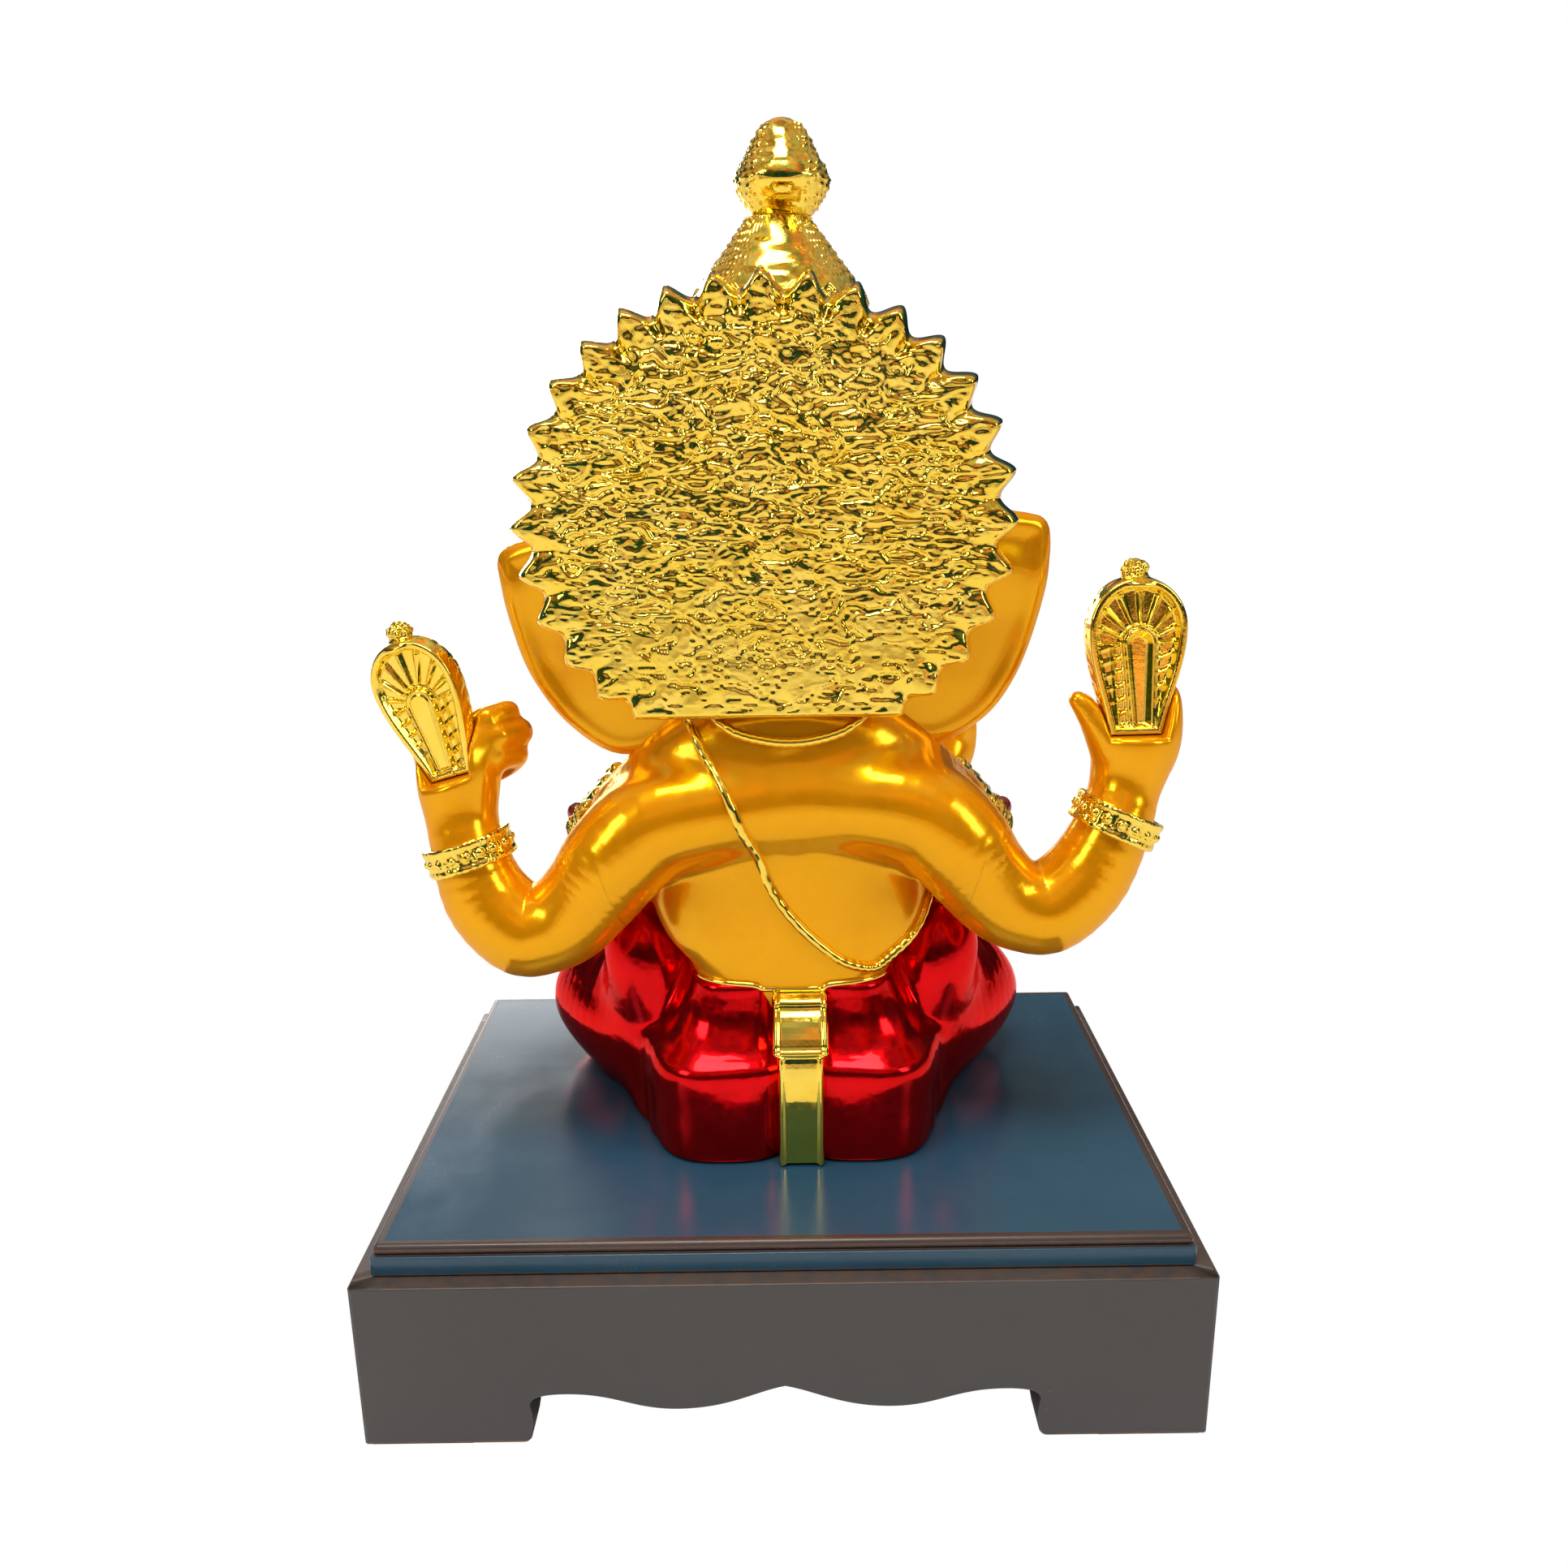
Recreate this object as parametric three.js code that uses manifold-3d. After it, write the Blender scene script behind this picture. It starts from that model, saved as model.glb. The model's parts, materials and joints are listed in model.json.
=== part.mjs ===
// A seated, four-armed Ganesha showpiece: plated and lacquered resin castings glued up into one figure,
// which is screwed from below to a hollow wooden plinth.
// Millimetres, +Z up. The figure faces -Y and its own left is +X.
// The origin is the centre of the plinth's underside, on the table.
import * as THREE from "three";
import { mergeVertices } from "three/addons/utils/BufferGeometryUtils.js";
import Module from "manifold-3d";

// ---- driving dimensions -------------------------------------------------------------------------
const GAP = 0.3; // glue line between neighbouring castings
const PLINTH = { width: 200, depth: 144, height: 44, board: 11, pad: 1.2, block: 14 };
const CUTOUT = { foot: 40, hump: 14.5, lobe: 10, cusp: 16, corner: 3 };
const SLAB = { ledge: 4.3, straight: 4.8, nosing: 2.6, inset: 2.4 };
const DECK = 6; // deck board set flush between the aprons
const SCREW = { x: 18, y: 4, shank: 2, head: 4.4, headHeight: 2.6, bite: 14 };
const FIGURE_OFFSET = -3; // the figure is fixed a little to its own right of the plinth's centre
const SHOULDER_SEAM = { rear: [44, 20, 71], front: [44.6, -3.4, 75] };
const PEG = { radius: 4, length: 13 }; // dowel that locates a glued casting
const PLATE = { x: 5, y: 24, z: 159.5, rx: 56.8, rz: 54, thickness: 7, flat: 44, petals: 32, scallop: 8.5 };
const EMBLEM = { width: 24, length: 38, thickness: 10, foot: 6.4, rim: 2 };
const CROWN = { x: 1, y: -4, band: 160.2, dome: 168.4, finial: 228.4 };

const wasm = await Module();
wasm.setup();

// ---- materials ----------------------------------------------------------------------------------
const finish = (color, roughness, metalness) => new THREE.MeshStandardMaterial({ color, roughness, metalness });
const LACQUER = [0x1d262b, 0.35, 0];
const RAW_WOOD = [0x8a6a44, 0.8, 0];
const FELT = [0x151515, 0.95, 0];
const STEEL = [0x9a9a9a, 0.3, 1];
const GOLD = [0xf2c230, 0.12, 1];
const PEARL = [0xe09a14, 0.25, 0.6];
const RED = [0xb5000e, 0.12, 0.8];
const GEM = [0x5a0610, 0.08, 0];
const IVORY = [0xf3ead2, 0.3, 0];
const ENAMEL = [0xf7f4ec, 0.15, 0];

// ---- solids -------------------------------------------------------------------------------------
const vec = (a) => new THREE.Vector3(...a);
const unit = (a) => vec(a).normalize();
const SIDES = ["left", "right"];
const signOf = (side) => (side === "left" ? 1 : -1);

// A closed three.js geometry as a manifold solid.
function solid(geometry) {
  const bare = geometry.index ? geometry.toNonIndexed() : geometry.clone();
  bare.deleteAttribute("normal");
  bare.deleteAttribute("uv");
  const merged = mergeVertices(bare, 1e-4);
  const vertProperties = new Float32Array(merged.attributes.position.array);
  const triVerts = new Uint32Array(merged.index.array);
  return new wasm.Manifold(new wasm.Mesh({ numProp: 3, vertProperties, triVerts }));
}

const join = (...solids) => solids.flat().reduce((a, b) => a.add(b));
const cut = (body, ...tools) => tools.flat().reduce((a, tool) => a.subtract(tool), body);

const box = (w, d, h, x, y, z) => solid(new THREE.BoxGeometry(w, d, h).translate(x, y, z));

const ball = ([x, y, z], [rx, ry, rz], grow = 0, sides = 10, rings = 7) =>
  solid(new THREE.SphereGeometry(1, sides, rings).scale(rx + grow, ry + grow, rz + grow).translate(x, y, z));

// A cylinder centred on a point and lying along a direction.
function rod(radius, length, centre, direction = [0, 0, 1], sides = 12) {
  const turn = new THREE.Quaternion().setFromUnitVectors(unit([0, 1, 0]), unit(direction));
  return solid(new THREE.CylinderGeometry(radius, radius, length, sides).applyQuaternion(turn).translate(...centre));
}

// A block standing on a plane: the plane passes through the point, and the block lies along the normal.
function blockOn(point, normal, size, grow = 0) {
  const turn = new THREE.Quaternion().setFromUnitVectors(unit([0, 0, 1]), unit(normal));
  const centre = vec(point).addScaledVector(unit(normal), size / 2 - grow);
  return solid(new THREE.BoxGeometry(size, size, size).applyQuaternion(turn).translate(...centre));
}

// A round-ended limb through stations [x, y, z, radius, other radius]. The first radius is measured
// along across; level keeps every section horizontal; square above 2 makes the sections boxier;
// cap limits the length of the rounded ends.
function limb(stations, options = {}) {
  const { across, sides = 12, rings = 12, square = 2, level = false, cap = Infinity, grow = 0 } = options;
  const smooth = (points) => new THREE.CatmullRomCurve3(points, false, "centripetal");
  const path = smooth(stations.map(([x, y, z]) => new THREE.Vector3(x, y, z)));
  const radii = smooth(stations.map(([, , , a, b = a]) => new THREE.Vector3(a, b, 0)));
  const frames = path.computeFrenetFrames(64, false);
  const length = path.getLength();
  const upright = Math.sign(stations[stations.length - 1][2] - stations[0][2]);
  const geometry = new THREE.SphereGeometry(1, sides, rings);
  const { position } = geometry.attributes;
  for (let i = 0; i < position.count; i++) {
    const p = new THREE.Vector3().fromBufferAttribute(position, i);
    const share = Math.acos(THREE.MathUtils.clamp(-p.y, -1, 1)) / Math.PI;
    const u = THREE.MathUtils.clamp(share - 0.1 * Math.sin(2 * Math.PI * share), 0, 1);
    const t = path.getUtoTmapping(u);
    const point = path.getPoint(t);
    const [a, b] = radii.getPoint(t);
    const along = level ? new THREE.Vector3(0, 0, upright) : path.getTangent(t);
    const start = across ? vec(across) : frames.normals[Math.round(u * 64)].clone();
    const first = start.addScaledVector(along, -start.dot(along)).normalize();
    const second = new THREE.Vector3().crossVectors(first, along);
    const reach = Math.min(Math.max(a, b), length / 2, cap);
    const inwards = Math.min(Math.min(u, 1 - u) * length, reach) / reach;
    const dome = Math.sqrt(1 - (1 - inwards) ** 2);
    const angle = Math.atan2(p.z, p.x);
    const [c, s] = [Math.cos(angle), Math.sin(angle)];
    const bulge = (Math.abs(c) ** square + Math.abs(s) ** square) ** (-1 / square);
    const tip = share < 1e-6 || share > 1 - 1e-6;
    point.addScaledVector(first, tip ? 0 : c * bulge * (a * dome + grow));
    point.addScaledVector(second, tip ? 0 : s * bulge * (b * dome + grow));
    if (tip) point.addScaledVector(along, share < 0.5 ? -grow : grow);
    position.setXYZ(i, ...point);
  }
  return solid(geometry);
}

// A pillow that fills a closed outline of [x, z] points, thickness deep, dished by a function of place.
function pillow(outline, [x, y, z], thickness, dish, { sides = 18, rings = 6, grow = 0 } = {}) {
  const edge = new THREE.CatmullRomCurve3(outline.map(([ox, oz]) => new THREE.Vector3(ox, 0, oz)), true, "centripetal");
  const geometry = new THREE.SphereGeometry(1, sides, rings);
  const { position, uv } = geometry.attributes;
  for (let i = 0; i < position.count; i++) {
    const share = Math.round(uv.getX(i) * 2 * sides) / (2 * sides);
    const polar = (1 - uv.getY(i)) * Math.PI;
    const rim = edge.getPoint(share % 1).sub(new THREE.Vector3(x, 0, z));
    const reach = Math.sin(polar) < 1e-6 ? 0 : Math.sin(polar) * (1 + grow / rim.length());
    const [px, pz] = [x + rim.x * reach, z + rim.z * reach];
    position.setXYZ(i, px, y + Math.cos(polar) * (thickness / 2 + grow) + dish(px, pz), pz);
  }
  return solid(geometry);
}

// A closed cord of round section through a ring of points.
function cord(points, radius, { sides = 4, segments = 30 } = {}) {
  const curve = new THREE.CatmullRomCurve3(points.map(vec), true, "centripetal");
  const frames = curve.computeFrenetFrames(segments, true);
  const geometry = new THREE.TorusGeometry(1, 0.1, sides, segments);
  const { position, uv } = geometry.attributes;
  for (let i = 0; i < position.count; i++) {
    const k = Math.round(uv.getX(i) * segments) % segments;
    const angle = (2 * Math.PI * (Math.round(uv.getY(i) * sides) % sides)) / sides;
    const point = curve.getPoint(k / segments);
    point.addScaledVector(frames.normals[k], radius * Math.cos(angle));
    point.addScaledVector(frames.binormals[k], -radius * Math.sin(angle));
    position.setXYZ(i, ...point);
  }
  return solid(geometry);
}

// A solid of revolution about an upright axis; its profile of [radius, height] starts and ends on the axis.
const lathe = (profile, [x, y, z], sides = 20) =>
  solid(new THREE.LatheGeometry(profile.map(([r, h]) => new THREE.Vector2(r, h)), sides).rotateX(Math.PI / 2).translate(x, y, z));

// An outline in the XZ plane, extruded towards -Y from its back face.
const slice = (shape, depth, [x, y, z], curveSegments = 5) =>
  solid(new THREE.ExtrudeGeometry(shape, { depth, bevelEnabled: false, curveSegments }).rotateX(Math.PI / 2).translate(x, y, z));

// ---- plinth -------------------------------------------------------------------------------------
const deckTop = PLINTH.height;
const slabTop = deckTop + GAP + SLAB.straight + SLAB.nosing;

// The face of an apron board: a plank with an ogee cut-out between two feet, centred on x.
function apronOutline(length) {
  const half = length / 2;
  const open = half - CUTOUT.foot * (length / PLINTH.width);
  const { hump, lobe, cusp, corner } = CUTOUT;
  const shape = new THREE.Shape();
  shape.moveTo(-half, PLINTH.pad);
  shape.lineTo(-open, PLINTH.pad);
  shape.lineTo(-open, hump - corner);
  shape.quadraticCurveTo(-open, hump, -0.86 * open, hump);
  shape.bezierCurveTo(-0.66 * open, hump, -0.6 * open, lobe, -0.42 * open, lobe);
  shape.bezierCurveTo(-0.22 * open, lobe, -0.12 * open, cusp - 1.5, 0, cusp);
  shape.bezierCurveTo(0.12 * open, cusp - 1.5, 0.22 * open, lobe, 0.42 * open, lobe);
  shape.bezierCurveTo(0.6 * open, lobe, 0.66 * open, hump, 0.86 * open, hump);
  shape.quadraticCurveTo(open, hump, open, hump - corner);
  shape.lineTo(open, PLINTH.pad);
  shape.lineTo(half, PLINTH.pad);
  shape.lineTo(half, deckTop);
  shape.lineTo(-half, deckTop);
  return shape;
}

// One apron board, mitred at both ends, with its outer face in the plane y = 0.
function apron(length) {
  const board = slice(apronOutline(length), PLINTH.board, [0, 0, 0]);
  const mitres = [-1, 1].map((end) => blockOn([end * (length / 2 - GAP / 2), 0, 0], [end, -1, 0], 400));
  return cut(board, mitres);
}

function screwHoles() {
  return SIDES.map((side) => rod(SCREW.shank + GAP, 60, [FIGURE_OFFSET + signOf(side) * SCREW.x, SCREW.y, deckTop]));
}

function deckBoard() {
  const [w, d] = [PLINTH.width, PLINTH.depth].map((size) => size - 2 * (PLINTH.board + GAP));
  return cut(box(w, d, DECK, 0, 0, deckTop - DECK / 2), screwHoles());
}

// The top slab stands back from the plinth's edge and has a rounded nosing.
function topSlab() {
  const [w, d] = [PLINTH.width, PLINTH.depth].map((size) => size - 2 * SLAB.ledge);
  const { straight, nosing, inset } = SLAB;
  const sheet = new THREE.Shape([[-1, -1], [1, -1], [1, 1], [-1, 1]].map(([x, y]) => new THREE.Vector2((x * w) / 2, (y * d) / 2)));
  const bevel = { bevelThickness: nosing, bevelSize: inset, bevelOffset: -inset, bevelSegments: 4 };
  const blank = new THREE.ExtrudeGeometry(sheet, { depth: 2 * straight, ...bevel });
  const floor = deckTop + GAP;
  const whole = solid(blank.translate(0, 0, floor - straight));
  return cut(whole, box(w + 10, d + 10, 20, 0, 0, floor - 10), screwHoles());
}

// A felt pad under a mitred corner, an L that follows the two boards.
function footPad(sx, sy) {
  const [x, y] = [sx * (PLINTH.width / 2 - 1.5), sy * (PLINTH.depth / 2 - 1.5)];
  const [reach, wide, height] = [24, PLINTH.board - 3, PLINTH.pad - 0.1];
  const along = box(reach, wide, height, x - (sx * reach) / 2, y - (sy * wide) / 2, height / 2);
  return along.add(box(wide, reach, height, x - (sx * wide) / 2, y - (sy * reach) / 2, height / 2));
}

function fixingScrew(side) {
  const x = FIGURE_OFFSET + signOf(side) * SCREW.x;
  const under = deckTop - DECK;
  const length = slabTop - under + SCREW.bite;
  const shank = rod(SCREW.shank, length, [x, SCREW.y, under + length / 2 - 0.5]);
  const head = rod(SCREW.head, SCREW.headHeight, [x, SCREW.y, under - GAP - SCREW.headHeight / 2]);
  return join(shank, head);
}

// ---- castings of the figure ---------------------------------------------------------------------
// From here on z is measured from the top of the slab and x from the figure's spine. A shape that
// takes a growth is used both as the piece and, grown by the glue line, as the cutter for its neighbours.

// The body from inside the hips to the neck: level sections [x, y, z, half width, half depth].
const BODY = [
  [0, 2, 26, 20, 18], [0, 1, 40, 24, 23], [0, 0, 50, 27.5, 27.5], [0, -5, 63, 35, 32.5], [0, -5, 76, 34, 30],
  [0, 1, 90, 33, 24], [0, 5, 100, 25, 17], [0, 4, 108, 17, 14], [0, 3, 114, 14, 12],
];
// Rear arms from inside the back over the elbow to the wrist; the two are not quite alike.
const REAR_ARM = {
  left: [[8, 17, 85, 13], [31, 19, 80, 13.6], [46, 20, 69.5, 12.2], [58, 20, 61, 11.6], [68, 20, 58.5, 11.8],
    [77, 19, 68, 10.9], [80.5, 18, 80, 9.4], [83, 16, 92, 8.6], [83, 15, 100, 8]],
  right: [[-8, 17, 87, 13], [-31, 19, 83, 13.6], [-44, 20, 73, 12.2], [-55, 20, 65, 11.6], [-64, 20, 63, 11.8],
    [-75, 19, 72, 10.8], [-81, 18, 85, 9.4], [-84.5, 16, 95, 8.4], [-86, 15, 104, 8]],
};
const REAR_PALM = { left: [82.5, 14, 103], right: [-86, 14, 108] };
const REAR_WRIST = {
  left: { at: [80.3, 18, 79.6], along: [0.24, -0.1, 0.97] },
  right: { at: [-81.2, 18, 85.4], along: [-0.38, -0.1, 0.92] },
};
// How each emblem stands in its hand: the middle of its foot, and its tilts in degrees.
const EMBLEM_POSE = {
  left: { foot: [83.6, 18, 98.5], nod: 12, lean: 24, turn: -22 },
  right: { foot: [-85.2, 18, 107], nod: 0, lean: 0, turn: 4 },
};
const FRONT_ARM = {
  left: [[24, -1, 86, 14], [39, -2, 82, 13.6], [46, -4, 71, 12.6], [50, -10, 60, 11.6], [48, -22, 55, 10.6],
    [40, -36, 55, 9.2], [32, -45, 55.5, 7.8], [24, -50, 55, 6.5]],
  right: [[-24, -1, 86, 14], [-39, -2, 82, 13.6], [-46, -4, 71, 12.6], [-50, -12, 59, 11.6], [-50, -26, 58, 10.4],
    [-48, -38, 66, 8.8], [-46.5, -44, 75, 7.4], [-46, -46, 84, 6.5]],
};
const FRONT_PALM = { left: { at: [17, -53, 54.6], size: [10.5, 9, 4.2] }, right: { at: [-46, -47.5, 91], size: [10, 5, 10] } };
const FRONT_WRIST = {
  left: { at: [33.5, -43.4, 55.4], along: [-0.66, -0.74, 0.02] },
  right: { at: [-46.8, -43, 73.4], along: [0.16, -0.55, 0.82] },
};
// One side of the wrapped dhoti behind: level sections.
const HIP = [
  [17, 3, -8, 20, 31], [17.5, 3, 2, 21, 32], [17.5, 3, 14, 21, 33.4], [17, 3, 26, 20.5, 33.4],
  [16, 2, 34, 18, 31], [14.5, 0.5, 42, 15.5, 28], [13.5, -1, 50, 13.5, 26.5], [13, -2, 58, 10, 20],
];
const LEG = {
  left: [[14, 4, 20, 19], [32, -8, 22, 21], [48, -22, 22, 19.5], [55, -32, 18, 15], [46, -41, 13, 12],
    [30, -43, 11, 10.5], [18, -43, 9.5, 8.5], [12, -43, 9, 6]],
  right: [[-14, 4, 20, 19], [-32, -8, 22, 21], [-48, -22, 22, 19.5], [-55, -33, 18, 15], [-47, -47, 13, 12],
    [-32, -54, 11, 10.5], [-20, -57, 9.5, 8.5], [-14, -58, 9, 6]],
};
const FOOT = {
  left: [[16, -43, 8, 6.5], [8, -43, 7.2, 6], [-1, -43, 6, 5.4], [-9, -42, 4.6, 5, 4.4], [-14, -42, 4, 4, 3]],
  right: [[-18, -58, 8, 6.5], [-10, -58.4, 7.2, 6], [-1, -58.6, 6, 5.4], [7, -59, 4.6, 5, 4.4], [12, -59, 4, 4, 3]],
};
const ANKLE = { left: [14.5, -43, 8.6], right: [-16.5, -57.6, 8.6] };
const TRUNK = [
  [0, -14, 134, 14], [0, -27, 130, 13], [0, -38, 120, 11.6], [0, -44.5, 106, 9.8], [1.5, -46, 92, 8.4],
  [7, -48, 84, 7.2], [17, -50, 80, 6], [25, -51, 83, 5], [28, -51, 88, 4],
];
// The idol's own left tusk is whole; the right one is broken off short.
const TUSK = {
  left: [[12, -26, 126, 3.6], [16, -36, 121, 3.3], [19, -44, 119, 2.6], [21.5, -50, 120, 1.4]],
  right: [[-12, -26, 126, 3.6], [-16, -36, 121, 3.3], [-17.6, -40.5, 119.8, 2.9]],
};
const EAR = {
  left: [[14, 128], [16, 148], [30, 157], [48, 157.5], [62, 155.5], [71.5, 151.5], [71.5, 143], [69.5, 132],
    [65, 120], [56, 108.5], [43, 101], [28, 106]],
  right: [[-14, 130], [-16, 150], [-28, 160], [-44, 161.5], [-56, 160.5], [-64.5, 157.5], [-65, 146], [-62.5, 132.5],
    [-57.5, 119.5], [-49, 109], [-36, 103], [-24, 108]],
};

const mirrored = ([x, ...rest]) => [-x, ...rest];
const peg = (at, along, grow, radius = PEG.radius) => rod(radius + grow, PEG.length + 2 * grow, at, along, 10);

const rearArm = (side, grow = 0) => limb(REAR_ARM[side], { across: [0, 1, 0], sides: 10, rings: 15, grow });
const frontArm = (side, grow = 0) => limb(FRONT_ARM[side], { sides: 10, rings: 13, grow });
const hips = (grow = 0) =>
  join([HIP, HIP.map(mirrored)].map((half) => limb(half, { level: true, across: [1, 0, 0], sides: 14, rings: 11, square: 2.7, cap: 10, grow })));
const leg = (side, grow = 0) => limb(LEG[side], { sides: 11, rings: 12, grow });
const foot = (side, grow = 0) => limb(FOOT[side], { across: [0, 1, 0], sides: 10, rings: 8, grow });
const trunk = (grow = 0) => limb(TRUNK, { across: [1, 0, 0.01], sides: 10, rings: 15, grow });
const tusk = (side, grow = 0) => limb(TUSK[side], { across: [0, 0, 1], sides: 8, rings: 6, grow });
const head = (grow = 0) => join(
  ball([0, -5, 141], [27.5, 25, 30], grow, 16, 10),
  [-11.5, 11.5].map((x) => ball([x, -12, 152], [13, 16, 12], grow, 10, 6)),
  ball([0, -14, 128], [20, 15, 16], grow, 10, 7),
);

const seamAt = (place, side) => (side === "left" ? place : mirrored(place));
const REAR_SPLIT = [1, 0, -0.3];
const FRONT_SPLIT = [0.5, -0.14, -0.86];

// The torso casting carries the shoulders of all four arms, as far as their seams.
function torso(grow = 0) {
  const shoulders = SIDES.flatMap((side) => {
    const away = (split) => seamAt(split, side).map((c) => -c);
    return [
      rearArm(side, grow).intersect(blockOn(seamAt(SHOULDER_SEAM.rear, side), away(REAR_SPLIT), 60, grow)),
      frontArm(side, grow).intersect(blockOn(seamAt(SHOULDER_SEAM.front, side), away(FRONT_SPLIT), 50, grow)),
    ];
  });
  return join(limb(BODY, { level: true, across: [1, 0, 0], sides: 16, rings: 12, grow }), shoulders);
}
const rearPeg = (side, grow) => peg(seamAt(SHOULDER_SEAM.rear, side), seamAt(REAR_SPLIT, side), grow);
const frontPeg = (side, grow) => peg(seamAt(SHOULDER_SEAM.front, side), seamAt(FRONT_SPLIT, side), grow);
const neckPeg = (grow) => rod(9 + grow, 22 + 2 * grow, [0, -2, 113], [0, 0, 1], 12);

// Everything below the slab's top is cut away, and the castings stand a hair above it.
const slabBelow = () => box(300, 300, 60, 0, 0, GAP / 2 - 30);

// A finger as a short limb over its knuckle.
const finger = (from, knuckle, tip, radius) =>
  limb([[...from, radius], [...knuckle, radius], [...tip, radius * 0.8]], { sides: 5, rings: 4 });

// The rear hand grips the emblem's foot: a thumb inside and the fingers closed in front.
function rearHand(side) {
  const s = signOf(side);
  const [x, y, z] = REAR_PALM[side];
  const palm = ball([x, y, z], [11, 9.4, 10.5], 0, 10, 7);
  const thumb = finger([x - s * 7, y - 2, z - 5], [x - s * 12, y - 3, z + 3], [x - s * 13.4, y - 4, z + 10], 3.3);
  const fist = ball([x + s * 0.5, y - 10.5, z + 1.5], [9.5, 5, 8.5], 0, 8, 6);
  return join(palm, thumb, fist);
}

// The raised right hand shows its open palm; the left lies flat and carries the bowl.
function frontHand(side) {
  const { at, size } = FRONT_PALM[side];
  const palm = ball(at, size, 0, 9, 6);
  if (side === "left") {
    const four = [-7.5, -2.6, 2.2, 7].map((row) =>
      finger([13, -54 + row, 54.6], [5, -55.5 + row * 0.8, 55], [0.5, -56 + row * 0.6, 57.4], 2.6));
    return join(palm, four, finger([23, -58, 55.4], [18, -63, 57], [13, -65, 58.6], 2.6));
  }
  const four = [[-53.6, 105], [-48.8, 110], [-44, 109.4], [-39.2, 105.4]].map(([x, top]) =>
    finger([x * 0.8 - 9.2, -47.5, 93], [x, -48, (93 + top) / 2], [x, -47.2, top], 2.6));
  return join(palm, four, finger([-39, -48, 84], [-33.5, -49.5, 90], [-32, -50.5, 96], 2.7));
}

// ---- regalia ------------------------------------------------------------------------------------
const poseOf = ({ foot: at, nod, lean, turn }) => {
  const [a, b, c] = [nod, lean, turn].map(THREE.MathUtils.degToRad);
  return new THREE.Matrix4().makeRotationFromEuler(new THREE.Euler(a, b, c, "ZYX")).setPosition(...at);
};

// A teardrop emblem with a knob on top, in its own frame: its foot at the origin, its back in y = 0.
function emblem(grow = 0, pose = new THREE.Matrix4()) {
  const { length, thickness, rim } = EMBLEM;
  const half = EMBLEM.width / 2 + grow;
  const narrow = EMBLEM.foot + grow;
  const shoulder = length - EMBLEM.width / 2;
  const shape = new THREE.Shape();
  shape.moveTo(-narrow, -grow);
  shape.bezierCurveTo(-1.4 * narrow, shoulder * 0.45, -half, shoulder * 0.65, -half, shoulder);
  shape.absarc(0, shoulder, half, Math.PI, 0, true);
  shape.bezierCurveTo(half, shoulder * 0.65, 1.4 * narrow, shoulder * 0.45, narrow, -grow);
  shape.closePath();
  const depth = thickness - 2 * rim + 2 * grow;
  const bevel = { bevelThickness: rim, bevelSize: rim, bevelOffset: -rim, bevelSegments: 1 };
  const shell = new THREE.ExtrudeGeometry(shape, { depth, curveSegments: 4, ...bevel });
  shell.rotateX(Math.PI / 2).translate(0, grow - rim, 0).applyMatrix4(pose);
  const knob = new THREE.SphereGeometry(3.6 + grow, 8, 6).translate(0, -thickness / 2, length + 0.6).applyMatrix4(pose);
  return solid(shell).add(solid(knob));
}

// A round plate edged with pointed petals and cut off flat below.
function crownPlate() {
  const { x, y, z, rx, rz, petals, scallop, flat, thickness } = PLATE;
  const spot = (place, inset) => {
    const angle = (place / petals) * 2 * Math.PI;
    return [(rx - inset) * Math.cos(angle), (rz - inset) * Math.sin(angle)];
  };
  const shape = new THREE.Shape();
  shape.moveTo(...spot(0, 0));
  for (let i = 0; i < petals; i++) shape.quadraticCurveTo(...spot(i + 0.5, scallop), ...spot(i + 1, 0));
  return cut(slice(shape, thickness, [x, y + thickness, z], 3), blockOn([0, 0, z - flat], [0, 0, -1], 200));
}

const crownAt = [CROWN.x, CROWN.y, 0];
const crownBand = (grow = 0) => {
  const [foot, top] = [CROWN.band - grow, CROWN.dome - GAP + grow];
  const r = 27.8 + grow;
  return lathe([[0, foot], [r, foot], [r + 1.8, foot + 3.4], [r + 1.8, top - 3], [r, top], [0, top]], crownAt, 18);
};
// The tall crown narrows in swelling tiers, then sweeps in to the finial.
const DOME = [
  [26.4, 0], [28, 3], [28, 7], [25, 11.4], [26.4, 16], [24.8, 22.6], [23.4, 24.6], [24.8, 30], [22.6, 37.6],
  [20.3, 44.6], [15.5, 50.2], [9, 57.8], [7.6, 59.8],
];
function crownDome(grow = 0) {
  const profile = DOME.map(([r, h]) => [r + grow, CROWN.dome + h]);
  const [low, high] = [CROWN.dome - grow, CROWN.dome + 59.8 + grow];
  return lathe([[0, low], [profile[0][0], low], ...profile.slice(1, -1), [profile.at(-1)[0], high], [0, high]], crownAt, 18);
}
const FINIAL = [[7.6, 0.5], [10.6, 4], [10.9, 6], [8.4, 11.8], [7.4, 14.2], [6.8, 17], [5.6, 19.2], [3.4, 21]];
const finialPeg = (grow) => peg([CROWN.x - 1, CROWN.y, CROWN.finial], [0, 0, 1], grow, 3);
function crownFinial() {
  const profile = FINIAL.map(([r, h]) => [r, CROWN.finial + h]);
  return lathe([[0, profile[0][1]], ...profile, [0, CROWN.finial + 21.6]], [CROWN.x - 1, CROWN.y, 0], 14);
}
// The jewelled crest at the crown's brow.
function crownCrest(grow = 0) {
  const y = CROWN.y - 29;
  return join(ball([1, y, 171], [11, 4, 9.5], grow, 9, 6), ball([1, y, 182], [6, 3.4, 9.5], grow, 8, 6));
}
const crestGem = (grow = 0) => ball([1, CROWN.y - 32.6, 172.5], [3.6, 3, 4.2], grow, 8, 6);

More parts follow.
